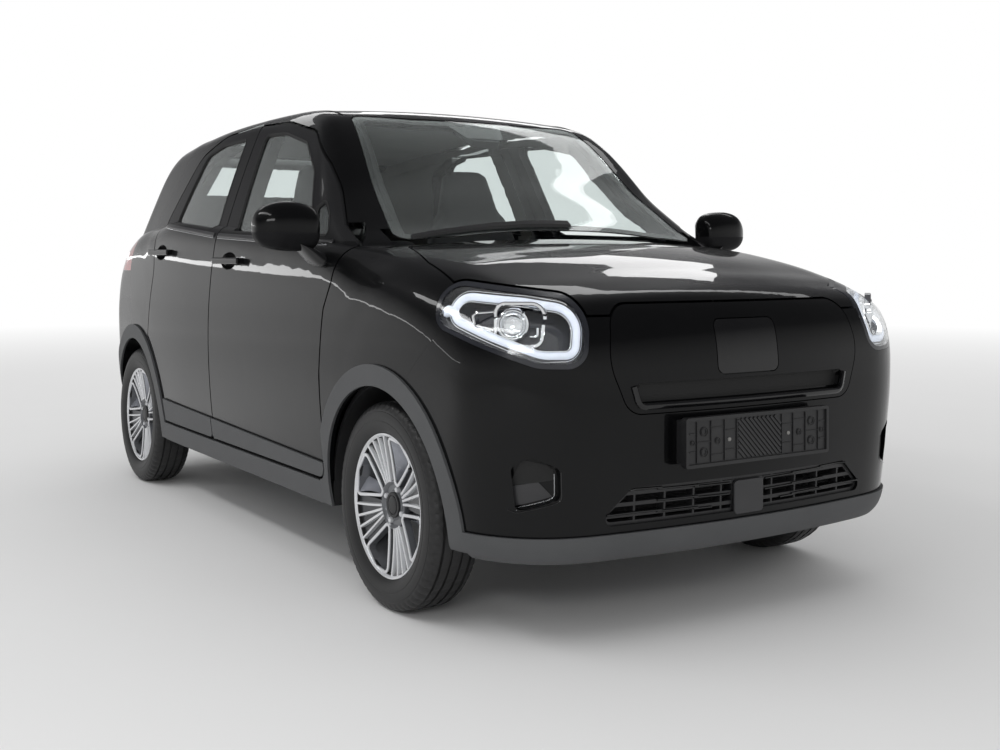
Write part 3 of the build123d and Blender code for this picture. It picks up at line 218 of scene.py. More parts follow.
PAINT = dict(low=(0.0022, 0.0023, 0.0026), high=(0.0034, 0.0035, 0.0039), rough=(0.30, 0.36), coat=1.0,
             coat_ior=1.28, grain=260.0, bump=0.01, depth=0.0004, drift=3.0, specular=0.05)
SATIN = dict(low=(0.013, 0.013, 0.014), high=(0.017, 0.017, 0.018), rough=(0.30, 0.38), coat=0.25)
MATTE = dict(low=(0.010, 0.010, 0.011), high=(0.014, 0.014, 0.015), rough=(0.40, 0.50), coat=0.15)
LINING = dict(low=(0.105, 0.103, 0.098), high=(0.13, 0.128, 0.122), rough=(0.7, 0.85), coat=0.0)
ALLOY = dict(coat=0.5, grain=1600.0, bump=0.03, depth=0.0001)
surface("mirror_glass", (0.70, 0.72, 0.74), (0.76, 0.78, 0.80), (0.02, 0.04), metallic=1.0, grain=300.0, bump=0.005,
        depth=0.0001)
surface("paint", **PAINT)
surface("frame_paint", **PAINT, over=LINING, mask=cabin_side)
surface("door_paint", **PAINT, over=SATIN, mask=above_belt)
surface("mirror_paint", **PAINT, over=MATTE, mask=mirror_foot)
surface("gloss_black", (0.004, 0.004, 0.0045), (0.006, 0.006, 0.0065), (0.08, 0.13), coat=0.4, grain=500.0,
        bump=0.01, depth=0.0003, specular=0.3)
surface("cladding", (0.058, 0.060, 0.063), (0.070, 0.072, 0.075), (0.50, 0.60), grain=2600.0, bump=0.3,
        depth=0.0003)
surface("satin_trim", (0.024, 0.024, 0.026), (0.032, 0.032, 0.034), (0.28, 0.36), grain=1800.0, bump=0.1)
# Bright metal strips that stand in for thin highlights: a painted highlight on the belt moulding's lower edge and on
# the bumper corners' edges.
surface("painted_highlight_metal", (0.42, 0.43, 0.44), (0.50, 0.51, 0.52), (0.20, 0.28), metallic=1.0, grain=1800.0, bump=0.05,
        depth=0.0001)
surface("black_plastic", (0.012, 0.012, 0.013), (0.018, 0.018, 0.019), (0.36, 0.46), grain=1500.0)
surface("rubber", (0.008, 0.008, 0.008), (0.013, 0.013, 0.013), (0.5, 0.65), grain=1400.0, specular=0.35)
surface("tyre", (0.0095, 0.0095, 0.010), (0.015, 0.015, 0.0155), (0.42, 0.56), grain=1100.0, bump=0.25,
        depth=0.0003)
surface("alloy_grey", (0.12, 0.125, 0.135), (0.16, 0.165, 0.175), (0.26, 0.36), metallic=0.4, **ALLOY)
# A lighter copy of alloy_grey, which is the same paint: painted light on the pocket walls of the wheel windows.
surface("alloy_painted_lit", (0.24, 0.25, 0.28), (0.31, 0.32, 0.36), (0.24, 0.32), metallic=0.35, **ALLOY)
surface("alloy_dark", (0.040, 0.042, 0.048), (0.058, 0.060, 0.066), (0.26, 0.34), metallic=0.6, **ALLOY)
surface("alloy_face", (0.66, 0.67, 0.69), (0.76, 0.77, 0.79), (0.26, 0.34), metallic=0.45, coat=0.5, grain=2400.0,
        bump=0.05, depth=0.0001)
surface("steel", (0.30, 0.30, 0.31), (0.40, 0.40, 0.41), (0.30, 0.45), metallic=1.0, grain=1500.0, bump=0.15,
        drift=14.0)
surface("chassis", (0.012, 0.012, 0.013), (0.020, 0.020, 0.021), (0.5, 0.66), grain=700.0, bump=0.3, depth=0.0003,
        specular=0.3)
surface("casing", (0.26, 0.27, 0.28), (0.36, 0.37, 0.38), (0.42, 0.58), metallic=0.8, grain=420.0, bump=0.35,
        depth=0.0005)
surface("chrome", (0.78, 0.79, 0.80), (0.84, 0.85, 0.86), (0.05, 0.09), metallic=1.0, bump=0.01, depth=0.0001)
surface("smoke", (0.012, 0.013, 0.017), (0.022, 0.024, 0.030), (0.16, 0.24), coat=0.5, grain=700.0, bump=0.03)
surface("seat_cloth", (0.014, 0.014, 0.015), (0.024, 0.024, 0.026), (0.8, 0.92), grain=1300.0, bump=0.6,
        depth=0.0006, sheen=0.1)
surface("dash", (0.026, 0.026, 0.028), (0.036, 0.036, 0.038), (0.5, 0.62), grain=1600.0, bump=0.35, depth=0.0003)
surface("screen", (0.004, 0.005, 0.007), (0.007, 0.009, 0.012), (0.05, 0.09), coat=1.0, grain=300.0, bump=0.01)
surface("lining", (0.19, 0.187, 0.178), (0.23, 0.226, 0.216), (0.85, 0.95), grain=2200.0, bump=0.4, depth=0.0003,
        sheen=0.2)
surface("tail_red", (0.30, 0.006, 0.006), (0.36, 0.010, 0.010), (0.06, 0.12), coat=1.0, grain=300.0, bump=0.05,
        depth=0.0004)
glowing("glow", (0.60, 0.64, 0.72), 0.45)
clear_glass("glass", (0.86, 0.91, 0.90), (0.86, 0.9, 0.89))
clear_glass("lens", (0.97, 0.98, 0.985), (0.95, 0.95, 0.95))

WORN_BY = {  # what each finish covers; a star stands for left and right
    "alloy_grey": "front_rim_* rear_rim_*", "black_plastic": "cowl lower_grille plate_holder steering_wheel wiper",
    "casing": "battery motor", "chassis": "floor_pan front_body front_subframe rear_axle",
    "cladding": "front_lip lower_trim front_door_cladding_* rear_door_cladding_*", "dash": "dashboard",
    "door_paint": "front_door_* rear_door_*", "frame_paint": "side_frame_*",
    "glass": "tailgate_glass windscreen front_door_glass_* rear_door_glass_*", "gloss_black": "charge_flap",
    "lens": "headlamp_lenses", "lining": "headliner", "mirror_paint": "mirror_*",
    "paint": "bonnet front_bumper front_fenders nose_panel rear_bumper roof_panel tailgate",
    "seat_cloth": "front_seats rear_bench", "smoke": "headlamps", "steel": "knuckle_*", "tail_red": "tail_lamps",
    "tyre": "front_tyre_* rear_tyre_*",
}
for finish, names in WORN_BY.items():
    for node in sorted({name.replace("*", side) for name in names.split() for side in SIDES}):
        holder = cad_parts[node]
        if holder.material_slots:
            for slot in holder.material_slots:
                slot.material = MATERIALS[finish]
        else:
            holder.data.materials.append(MATERIALS[finish])


# ======== shapes
def mm(*values):
    return tuple(v / 1000.0 for v in values)


def add_mesh(name, verts, faces, material, body, smooth=35.0):
    """A new piece from vertices in metres, which rides on a body."""
    mesh = bpy.data.meshes.new(name)
    mesh.from_pydata([tuple(v) for v in verts], [], faces)
    mesh.validate()
    work = bmesh.new()
    work.from_mesh(mesh)
    bmesh.ops.recalc_face_normals(work, faces=work.faces)
    work.to_mesh(mesh)
    work.free()
    mesh.shade_smooth()
    mesh.set_sharp_from_angle(angle=math.radians(smooth))
    piece = bpy.data.objects.new(name, mesh)
    scene.collection.objects.link(piece)
    piece.data.materials.append(MATERIALS[material])
    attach(piece, body)
    return piece


def soften(piece):
    soft = piece.modifiers.new("soft", "SUBSURF")
    soft.levels = soft.render_levels = 2


def signed_power(value, power):
    return math.copysign(abs(value) ** power, value)


def grid_faces(count, across):
    """Faces of an open grid of count points in rows of across."""
    return [(k, k + 1, k + across + 1, k + across) for k in range(count - across) if (k + 1) % across]


def loft_faces(rows, across):
    """Faces between closed rows of across points each, with both ends shut."""
    faces = []
    for j in range(0, (rows - 1) * across, across):
        faces += [(j + i, j + (i + 1) % across, j + across + (i + 1) % across, j + across + i) for i in range(across)]
    return faces + [tuple(range(across)), tuple((rows - 1) * across + i for i in reversed(range(across)))]


def rounded(corners, steps=7, closed=True):
    """Points along a polygon or polyline whose corners (u, v, radius) are arcs; all in mm."""
    out = []
    count = len(corners)
    for i, corner in enumerate(corners):
        here = Vector(corner[:2])
        if len(corner) < 3 or not (closed or 0 < i < count - 1):
            out.append(here)
            continue
        before = (Vector(corners[i - 1][:2]) - here).normalized()
        after = (Vector(corners[(i + 1) % count][:2]) - here).normalized()
        half = before.angle(after) / 2
        reach = corner[2] / math.tan(half)
        start, end = here + before * reach, here + after * reach
        centre = here + (before + after).normalized() * (corner[2] / math.sin(half))
        for k in range(steps + 1):
            arm = (start - centre).lerp(end - centre, k / steps)
            out.append(centre + arm.normalized() * corner[2])
    return out


def resampled(points, step, closed=True):
    """The same path with points at even steps."""
    line = list(points) + ([points[0]] if closed else [])
    lengths = [0.0]
    for a, b in zip(line, line[1:]):
        lengths.append(lengths[-1] + (b - a).length)
    count = max(3, round(lengths[-1] / step))
    out, seg = [], 0
    for k in range(count if closed else count + 1):
        want = lengths[-1] * k / count
        while seg < len(lengths) - 2 and lengths[seg + 1] < want:
            seg += 1
        span = lengths[seg + 1] - lengths[seg]
        out.append(line[seg].lerp(line[seg + 1], (want - lengths[seg]) / span if span else 0.0))
    return out


def offset_loop(points, distance):
    """A closed loop moved inwards by distance."""
    area = sum(a.x * b.y - b.x * a.y for a, b in zip(points, points[1:] + points[:1]))
    sign = 1.0 if area > 0 else -1.0
    out = []
    for i, here in enumerate(points):
        along = (points[(i + 1) % len(points)] - points[i - 1]).normalized()
        out.append(here + Vector((-along.y, along.x)) * distance * sign)
    return out


def search_tree(*nodes):
    """What rays are cast against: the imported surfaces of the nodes."""
    verts, faces = [], []
    for node in nodes:
        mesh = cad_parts[node].data
        start = len(verts)
        verts += [v.co.copy() for v in mesh.vertices]
        faces += [[start + i for i in p.vertices] for p in mesh.polygons]
    return BVHTree.FromPolygons(verts, faces)


def side_view(sign):
    """How an (x, z) point in mm is looked up from beside the car."""
    return lambda p: (Vector((p.x / 1000, 1.5 * sign, p.y / 1000)), Vector((0, -sign, 0)))


def front_view(p):
    """How a (y, z) point in mm is looked up from ahead of the car."""
    return Vector((2.5, p.x / 1000, p.y / 1000)), Vector((-1, 0, 0))


def top_view(p):
    """How an (x, y) point in mm is looked up from above the car."""
    return Vector((p.x / 1000, p.y / 1000, 2.5)), Vector((0, 0, -1))


def lamp_view(sign):
    """How a point of the headlamp's own outline is looked up, square to the lamp."""
    a = math.radians(LAMP_TURN)
    out = Vector((math.cos(a), math.sin(a) * sign, 0))
    across = Vector((math.sin(a), -math.cos(a) * sign, 0))
    return lambda p: (out * 1.9 + across * (p.x / 1000) + Vector((0, 0, p.y / 1000)), -out)


def laid_on(tree, points, view):
    """(place, outward normal) on the surface under each point."""
    hits = []
    for p in points:
        start, direction = view(p)
        place, normal, _, _ = tree.ray_cast(start, direction)
        if place is None:
            continue
        hits.append((place, -normal if normal.dot(direction) > 0 else normal))
    return hits


def sweep(name, hits, profile, material, body, closed=True, smooth=35.0):
    """A strip along surface points.

    The profile runs as (across, outwards) in mm, where across points to the inside of a loop.
    """
    count, n = len(hits), len(profile)
    middle = sum((h[0] for h in hits), Vector()) / count
    rows, flip = [], 0.0
    for i, (place, normal) in enumerate(hits):
        after = hits[(i + 1) % count][0] if closed or i < count - 1 else place
        before = hits[i - 1][0] if closed or i else place
        across = (after - before).cross(normal).normalized()
        flip += across.dot(middle - place)
        rows.append((place, across, across.cross(after - before).normalized()))
    sign = 1.0 if flip > 0 else -1.0
    verts, faces = [], []
    for (place, across, out), (_, normal) in zip(rows, hits):
        if out.dot(normal) < 0:
            out = -out
        verts += [place + across * (sign * a / 1000) + out * (b / 1000) for a, b in profile]
    for i in range(count if closed else count - 1):
        j = (i + 1) % count
        faces += [(i * n + k, j * n + k, j * n + (k + 1) % n, i * n + (k + 1) % n) for k in range(n)]
    if not closed:
        faces += [tuple(range(n)), tuple((count - 1) * n + k for k in reversed(range(n)))]
    return add_mesh(name, verts, faces, material, body, smooth)


def ridge(half, foot, shoulder, top, flat=0.0):
    """A strip's section in mm: sides from foot to shoulder, then a slope to a top that is pointed or flat."""
    crest = [(-flat, top), (flat, top)] if flat else [(0, top)]
    return [(-half, foot), (-half, shoulder), *crest, (half, shoulder), (half, foot)]


def patch(name, tree, quad, counts, view, lift, depth, material, body):
    """A thin panel laid on a surface over the four corners (u, v) of quad, with its face lift mm above it."""
    nu, nv = counts
    a, b, c, d = (Vector(p) for p in quad)
    top, low = [], []
    for j in range(nv + 1):
        for i in range(nu + 1):
            p = a.lerp(b, i / nu).lerp(d.lerp(c, i / nu), j / nv)
            start, direction = view(p)
            place, normal, _, _ = tree.ray_cast(start, direction)
            if place is None:
                place, normal, _, _ = tree.find_nearest(top[-1] if top else start)
            normal = -normal if normal.dot(direction) > 0 else normal
            top.append(place + normal * (lift / 1000))
            low.append(place + normal * ((lift - depth) / 1000))
    verts = top + low
    shift, row, faces = len(top), nu + 1, []
    for q in grid_faces(shift, row):
        faces += [q, tuple(shift + k for k in reversed(q))]
    rim = list(range(nu)) + [j * row + nu for j in range(nv)]
    rim += [nv * row + i for i in range(nu, 0, -1)] + [j * row for j in range(nv, 0, -1)]
    for p, q in zip(rim, rim[1:] + rim[:1]):
        faces.append((p, q, q + shift, p + shift))
    return add_mesh(name, verts, faces, material, body)


def slab(name, loop, to_space, depth, material, body, bevel=0.0):
    """A flat plate from a closed loop in mm; to_space gives a point in metres for (u, v, height)."""
    n = len(loop)
    verts = [to_space(p.x, p.y, 0.0) for p in loop] + [to_space(p.x, p.y, depth) for p in loop]
    faces = [tuple(range(n)), tuple(reversed(range(n, 2 * n)))]
    faces += [(i, (i + 1) % n, n + (i + 1) % n, n + i) for i in range(n)]
    piece = add_mesh(name, verts, faces, material, body, 50.0)
    if bevel:
        soft = piece.modifiers.new("edge", "BEVEL")
        soft.width, soft.segments, soft.limit_method = bevel / 1000, 3, "ANGLE"
        soft.angle_limit = math.radians(50)
    return piece


def bars(name, runs, to_space, material, body):
    """Straight bars (u0, v0, u1, v1, width, from, to) in mm as one piece, narrower at the top."""
    verts, faces, taper = [], [], 0.82
    for u0, v0, u1, v1, width, low, high in runs:
        along = Vector((u1 - u0, v1 - v0)).normalized()
        side = Vector((-along.y, along.x)) * width / 2
        ends = ((u0, v0, -1), (u1, v1, -1), (u1, v1, 1), (u0, v0, 1))
        start = len(verts)
        for height, share in ((low, 1.0), (high, taper)):
            verts += [to_space(u + side.x * share * s, v + side.y * share * s, height) for u, v, s in ends]
        faces += [(start, start + 1, start + 2, start + 3), (start + 7, start + 6, start + 5, start + 4)]
        faces += [(start + i, start + (i + 1) % 4, start + 4 + (i + 1) % 4, start + 4 + i) for i in range(4)]
    return add_mesh(name, verts, faces, material, body, 30.0)


def spun(name, outline, to_space, material, body, count=48, smooth=35.0):
    """A turned form from (radius, height) in mm round a local axis; a radius of 0 closes an end."""
    verts, faces, n = [], [], len(outline)
    for i in range(count):
        a = 2 * math.pi * i / count
        verts += [to_space(r * math.cos(a), r * math.sin(a), h) for r, h in outline]
    for i in range(count):
        j = (i + 1) % count
        faces += [(i * n + k, j * n + k, j * n + k + 1, i * n + k + 1) for k in range(n - 1)]
    return add_mesh(name, verts, faces, material, body, smooth)


# ======== wheels
AXLES = {"front": 1.12, "rear": -1.28}  # metres ahead of the origin; all that follows is in mm
WHEEL_Y, AXLE_Z = 707.0, 298.0
TYRE_STEPS = 252
VALVE = (172 * math.cos(0.8), 172 * math.sin(0.8))
SPOKE_TURN = 22  # degrees that the spoke pattern stands from upright
DISH, RISE, RIM_RADIUS = 47, 18, 200  # the wheel's face: height at the hub, rise to the rim
NUT_CIRCLE = 50
# turned outlines as (radius, height over the wheel's middle plane)
CAP = [(0, 49.5), (14, 49.3), (22, 48.6), (25.5, 47.4), (26, 45), (28, 45), (29, 47.2), (35, 47.6), (37, 46),
       (37, 36)]
HUB_RING = [(34, 41), (40, 41), (43, 38), (58, 38), (62, 44), (66, 47), (70, 46), (72, 30), (60, 10), (40, 4)]
BARREL = [(206.4, 60), (206.5, 66), (204, 67.5), (199, 62), (194, 50), (190.6, 20), (186, -12), (184, -60),
          (190, -66), (205, -70), (206, -64)]
RIM_EDGE = [(197, 62.5), (200.0, 67.0), (204, 68.6), (206.2, 68), (206.4, 64)]
WINDOW = ((-7, 68, 5), (-21.5, 196, 14), (0, 203, 0), (21.5, 196, 14), (7, 68, 5))  # degrees, radius, corner radius
BLADES = ((32, 29.5, 3.6), (41, 40, 3.9), (49, 50, 3.9), (58, 60.5, 3.6))  # degrees at the hub and rim, half width
TREAD = [  # (across, radius) over half of the tyre, from the bead to the crown
    (60, 195), (62.5, 203), (68, 208), (74, 216), (79.5, 228), (81.8, 240), (82.0, 243), (81.2, 244.5), (82.2, 247),
    (81.0, 262), (79, 270), (77.6, 270.8), (77.5, 274), (75.5, 280), (71, 287), (65, 292), (58, 295.2), (50, 297),
    (49, 292.0), (47.5, 290.5), (43.5, 290.5), (42, 292.0), (41, 297.4), (31, 297.8), (21, 298), (20, 292.0),
    (18.5, 291.0), (14.5, 291.0), (13, 292.0), (12, 298), (6, 298),
]


def tyre_mesh(end, sign):
    """A tyre with a bead, a ribbed side wall, four grooves and sipes across its ribs."""
    line = [(-a, r) for a, r in TREAD] + [(0, 298.0)] + [(a, r) for a, r in reversed(TREAD)]
    verts, faces, n = [], [], len(line)
    for i in range(TYRE_STEPS):
        angle = 2 * math.pi * i / TYRE_STEPS
        for a, r in line:
            cut = 0.0
            if 57 < abs(a) < 76 and r > 278 and i % 4 == 0:
                cut = 4.2
            elif abs(a) < 42 and r > 297 and (i + (2 if a < 0 else 0)) % 6 == 0:
                cut = 2.2
            y = sign * (WHEEL_Y + a) / 1000
            rr = (r - cut) / 1000
            verts.append((AXLES[end] + rr * math.cos(angle), y, AXLE_Z / 1000 + rr * math.sin(angle)))
        j = (i + 1) % TYRE_STEPS
        faces += [(i * n + k, j * n + k, j * n + (k + 1) % n, i * n + (k + 1) % n) for k in range(n)]
    return verts, faces


for side, sign in SIDES.items():
    for end, axle_x in AXLES.items():
        body = f"{end}_wheel_{side}"
        piece = add_mesh(f"{end}_tyre_tread_{side}", *tyre_mesh(end, sign), "tyre", body, 38.0)
        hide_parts(f"{end}_tyre_{side}")

        def on_wheel(u, v, h, axle_x=axle_x, sign=sign):
            return (axle_x + u / 1000, sign * (WHEEL_Y + h) / 1000, (AXLE_Z + v) / 1000)

        def polar(angle, radius, sink=0.0, put=on_wheel):
            """A point of the dished face, sunk by some mm; angle clockwise from the top, seen from outside."""
            turn = math.radians(SPOKE_TURN + angle)
            high = DISH + RISE * (radius / RIM_RADIUS) ** 2 - sink
            return Vector(put(radius * math.sin(turn), radius * math.cos(turn), high))

        out = Vector((0, sign, 0))
        spun(f"{end}_cap_{side}", CAP, on_wheel, "black_plastic", body)
        hub = spun(f"{end}_hub_{side}", HUB_RING, on_wheel, "alloy_grey", body)
        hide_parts(f"{end}_rim_{side}")
        spun(f"{end}_barrel_{side}", BARREL, on_wheel, "alloy_grey", body, 96)
        spun(f"{end}_rim_edge_{side}", RIM_EDGE, on_wheel, "alloy_face", body, 96)
        for k in range(4):
            base = 90 * k
            nut = polar(base, NUT_CIRCLE)
            u0, v0 = (nut.x - axle_x) * 1000, nut.z * 1000 - AXLE_Z
            spun(f"{end}_nut_{side}_{k}", [(0, 48), (5.5, 47.6), (8.2, 45.6), (8.8, 42), (8.8, 30)],
                 lambda u, v, h, u0=u0, v0=v0, put=on_wheel: put(u0 + u, v0 + v, h), "alloy_face", body, 6, 25.0)
            corners = []
            for angle, radius, fillet in WINDOW:
                t = math.radians(angle)
                corners.append((radius * math.sin(t), radius * math.cos(t)) + ((fillet,) if fillet else ()))
            loop = [(polar(base + math.degrees(math.atan2(p.x, p.y)), p.length, 1.0), out)
                    for p in resampled(rounded(corners), 6.0)]
            sweep(f"{end}_window_{side}_{k}", loop, ridge(4.6, -3, 0.2, 1, 3.6), "alloy_face", body)
            sweep(f"{end}_window_wall_{side}_{k}", loop, [(-3.2, -24), (-3.2, -1.5), (3.2, -1.5), (5.0, -24)],
                  "alloy_grey", body)
            # Petal: a sloping panel across half of each window in the lighter alloy copy, standing for the pocket's
            # grey wall with painted light on it.
            verts = [polar(base + (-6.5 - 14 * (r - 70) / 128) * (1 - 0.72 * j / 4), r, 4 + 7.5 * j)
                     for r in range(72, 201, 8) for j in range(5)]
            add_mesh(f"{end}_petal_{side}_{k}", verts, grid_faces(len(verts), 5), "alloy_painted_lit", body, 60.0)
            verts = [polar(base + 22 + 46 * j / 8, r, 11) for r in range(64, 205, 10) for j in range(9)]
            add_mesh(f"{end}_fan_{side}_{k}", verts, grid_faces(len(verts), 9), "alloy_dark", body, 60.0)
            for n, (start, stop, half) in enumerate(BLADES):
                line = [(polar(base + start + (stop - start) * (r - 66) / 134, r, 1.0), out)
                        for r in range(66, 203, 8)]
                sweep(f"{end}_blade_{side}_{k}_{n}", line,
                      [(-half - 1.4, -12), (-half, -1), (-half + 0.6, 0.8), (half - 0.6, 0.8), (half, -1),
                       (half + 1.4, -12)], "alloy_face", body, False)
        spun(f"{end}_valve_{side}", [(0, 60), (3.2, 60), (3.6, 56), (3.6, 40)],
             lambda u, v, h, put=on_wheel: put(u + VALVE[0], v + VALVE[1], h), "rubber", body, 12)


# ======== side glass, frames and mouldings
FRONT_WINDOWS = [
    [(-140, 1106, 15), (-212, 1474, 25), (-16, 1466, 200), (228, 1412, 100), (392, 1300, 30), (532, 1085, 12)],
    [(442, 1270, 20), (572, 1085, 12), (648, 1082, 10), (600, 1146, 60)],
]
REAR_WINDOWS = [[(-366, 1120, 15), (-425, 1476, 25), (-690, 1470, 150), (-850, 1436, 60), (-925, 1158, 20)]]
BELTS = {"front_door": [(-252, 1090), (150, 1074), (560, 1061), (700, 1058)],
         "rear_door": [(-985, 1144), (-700, 1123), (-296, 1092)]}
SEAL = [(7, -7), (7, -3.2), (2.5, -0.6), (0, 1.2), (-3.5, 1.4), (-4.2, -1)]
MOULDING = [(-9, -1), (-9, 2.2), (-6, 4.2), (6, 4.6), (8.5, 3.2), (9.5, -1)]
BELT_EDGE = ridge(1.6, -1, 2.2, 3.0)

for side, sign in SIDES.items():
    view = side_view(sign)
    for door, windows in (("front_door", FRONT_WINDOWS), ("rear_door", REAR_WINDOWS)):
        body = f"{door}_{side}"
        tree = search_tree(body)
        for k, window in enumerate(windows):
            loop = resampled(offset_loop(rounded(window), -4.0), 9.0)
            sweep(f"{door}_seal_{side}_{k}", laid_on(tree, loop, view), SEAL, "rubber", body)
    for door, line in BELTS.items():
        body = f"{door}_{side}"
        tree = search_tree(body)
        # The belt edge is a bright metal strip under the moulding: a painted highlight on the moulding's lower edge.
        for name, drop, profile, finish in (("belt", 0, MOULDING, "satin_trim"),
                                            ("belt_edge", 10.5, BELT_EDGE, "painted_highlight_metal")):
            path = resampled([Vector((u, v - drop)) for u, v in line], 18.0, False)
            sweep(f"{door}_{name}_{side}", laid_on(tree, path, view), profile, finish, body, False)


# ======== mirrors
SHELL = [  # distance out, shift back and up, then shares of the half length and half height
    (803, 0, -6, 0.50, 0.42), (808, 0, -6, 0.74, 0.72), (826, 0, -4, 0.90, 0.90), (872, 0, -1, 1.0, 1.0),
    (920, 0, 0, 0.98, 0.99), (960, 0, -1, 0.90, 0.90), (988, 8, -3, 0.74, 0.72), (1003, 8, -6, 0.52, 0.46),
    (1009, 8, -8, 0.26, 0.20),
]
MIRROR_X, MIRROR_Z, HALF_LENGTH, HALF_HEIGHT = 700, 1106, 58, 78
FOOT = [((700, 896, 1056), 44, 26), ((702, 858, 1046), 48, 32), ((706, 826, 1026), 50, 34),
        ((710, 802, 1000), 52, 30), ((712, 782, 978), 54, 20)]  # centre, half length, half height
SHELL_STEPS, FOOT_STEPS = 40, 24
MIRROR_FACE_X = 640.5
for side, sign in SIDES.items():
    body = f"front_door_{side}"
    verts = []
    for y, back, up, length, height in SHELL:
        x, z, a, b = MIRROR_X - back, MIRROR_Z + up, HALF_LENGTH * length, HALF_HEIGHT * height
        for i in range(SHELL_STEPS):
            c, s = math.cos(2 * math.pi * i / SHELL_STEPS), math.sin(2 * math.pi * i / SHELL_STEPS)
            px = x + a * (0.82 * signed_power(c, 0.55) - 0.18 if c < 0 else signed_power(c, 0.9))
            pz = z + b * signed_power(s, 0.82) - (6 * c if s < 0 else 0)
            verts.append(mm(px, sign * y, pz))
    shell = add_mesh(f"mirror_shell_{side}", verts, loft_faces(len(SHELL), SHELL_STEPS), "mirror_paint", body, 180.0)
    soften(shell)
    verts = []
    for k, ((x, y, z), a, b) in enumerate(FOOT):
        lean = Vector((0, 1, 0.5)).lerp(Vector((0, 1, -0.4)), k / 4).normalized()
        for i in range(FOOT_STEPS):
            c, s = math.cos(2 * math.pi * i / FOOT_STEPS), math.sin(2 * math.pi * i / FOOT_STEPS)
            step = lean * (b * signed_power(s, 0.7))
            verts.append(mm(x + a * signed_power(c, 0.7), sign * (y + step.y), z + step.z))
    soften(add_mesh(f"mirror_foot_{side}", verts, loft_faces(len(FOOT), FOOT_STEPS), "gloss_black", body, 180.0))
    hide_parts(f"mirror_{side}")
    glass = rounded([(830, 1052, 26), (826, 1156, 26), (984, 1146, 34), (978, 1064, 30)])
    slab(f"mirror_glass_{side}", resampled(glass, 5.0), lambda u, v, h, sign=sign: mm(MIRROR_FACE_X - h, sign * u, v),
         4.0, "mirror_glass", body, 1.0)


# ======== headlamps
DRL = [(356, 921, 56), (560, 905, 300), (706, 882, 80), (701, 747, 38), (600, 747, 130), (354, 838, 46)]
DRL_PROFILE = [(-10, -9), (-10, 0), (-7.5, 3.5), (-2, 5), (3, 5), (8, 3), (10, -1), (10, -9)]
DRL_DEPTH, EDGE_DEPTH, BEAM_DEPTH = 17, 15, 34  # under the lens
DRL_EDGE = ridge(1.4, -14, 0, 1.2)
BEAM = Vector((530, 838))  # the projector's middle in the lamp's own view
BEAM_LINES = {  # bright lines about the projector: path, height, step, profile
    "frame": ([(612, 852), (612, 892, 34), (486, 892, 24), (486, 782, 24), (606, 782, 26), (608, 838)], 2, 4.0,
              ridge(5, -14, 2, 4.5, 3)),
    "hook": ([(594, 830, 4), (594, 806, 10), (574, 806)], 0, 3.0, ridge(3, -12, 1, 3)),
    "bracket": ([(486, 872), (436, 868, 5), (426, 862, 5), (432, 834, 6), (486, 822)], 0, 3.0,
                ridge(3, -12, 2, 3.6)),
}
for side, sign in SIDES.items():
    view = lamp_view(sign)
    tree = search_tree("headlamp_lenses")
    out = view(BEAM)[1] * -1

    def sunk(points, depth, tree=tree, view=view, out=out):
        return [(place - out * (depth / 1000), out) for place, _ in laid_on(tree, points, view)]

    loop = resampled(offset_loop(rounded(DRL, 10), 12.0), 7.0)
    sweep(f"day_light_{side}", sunk(loop, DRL_DEPTH), DRL_PROFILE, "glow", "body", smooth=60.0)
    for k, shift in enumerate((-2.0, 24.5)):
        rim = resampled(offset_loop(rounded(DRL, 10), shift), 7.0)
        sweep(f"day_light_edge_{side}_{k}", sunk(rim, EDGE_DEPTH), DRL_EDGE, "chrome", "body")
    centre = sunk([BEAM], BEAM_DEPTH)[0][0]
    across = (view(BEAM + Vector((1, 0)))[0] - view(BEAM)[0]).normalized()

    def in_lamp(u, v, h, centre=centre, across=across, out=out):
        high = Vector((0, 0, (v - BEAM.y) / 1000))
        return tuple(centre + across * ((u - BEAM.x) / 1000) + high + out * (h / 1000))

    def about_beam(u, v, h, put=in_lamp):
        return put(BEAM.x + u, BEAM.y + v, h)

    spun(f"projector_ring_{side}", [(34.5, -4), (34.5, 6), (38, 9), (41, 6), (43, -8)], about_beam, "chrome",
         "body")
    spun(f"projector_lens_{side}", [(0, 13), (9, 12.4), (18, 10.2), (26, 6.4), (31, 1.5), (33, -4)], about_beam,
         "lens", "body", smooth=80.0)
    spun(f"projector_bowl_{side}", [(0, -13), (10, -12), (20, -9), (29, -3), (33, 2)], about_beam, "chrome",
         "body", smooth=80.0)
    for name, (corners, high, step, profile) in BEAM_LINES.items():
        path = resampled(rounded(corners, closed=False), step, False)
        line = [(Vector(in_lamp(p.x, p.y, high)), out) for p in path]
        sweep(f"beam_{name}_{side}", line, profile, "chrome", "body", False)
    slab(f"beam_tray_{side}", rounded([(440, 862), (480, 866), (480, 828), (446, 838)]), in_lamp, -6.0, "smoke",
         "body", 1.0)


# ======== nose, plate carrier and grille
PROUD = Vector((0.004, 0, 0))  # how far the lip and the blades stand ahead of their surface
NOSE = search_tree("nose_panel")
MOUTH = [(-368, 637), (368, 637), (378, 682), (-378, 682)]
patch("nose_intake", NOSE, MOUTH, (60, 4), front_view, 2.0, 1.5, "rubber", "body")
lip = resampled(rounded([(-392, 676), (-376, 622, 24), (376, 622, 24), (392, 676)], closed=False), 9.0, False)
sweep("nose_lip", [(p + PROUD, n) for p, n in laid_on(NOSE, lip, front_view)],
      [(-8, -8), (-8, 0), (-4, 3.5), (4, 4.5), (8, 1), (9, -6)], "gloss_black", "body", False)

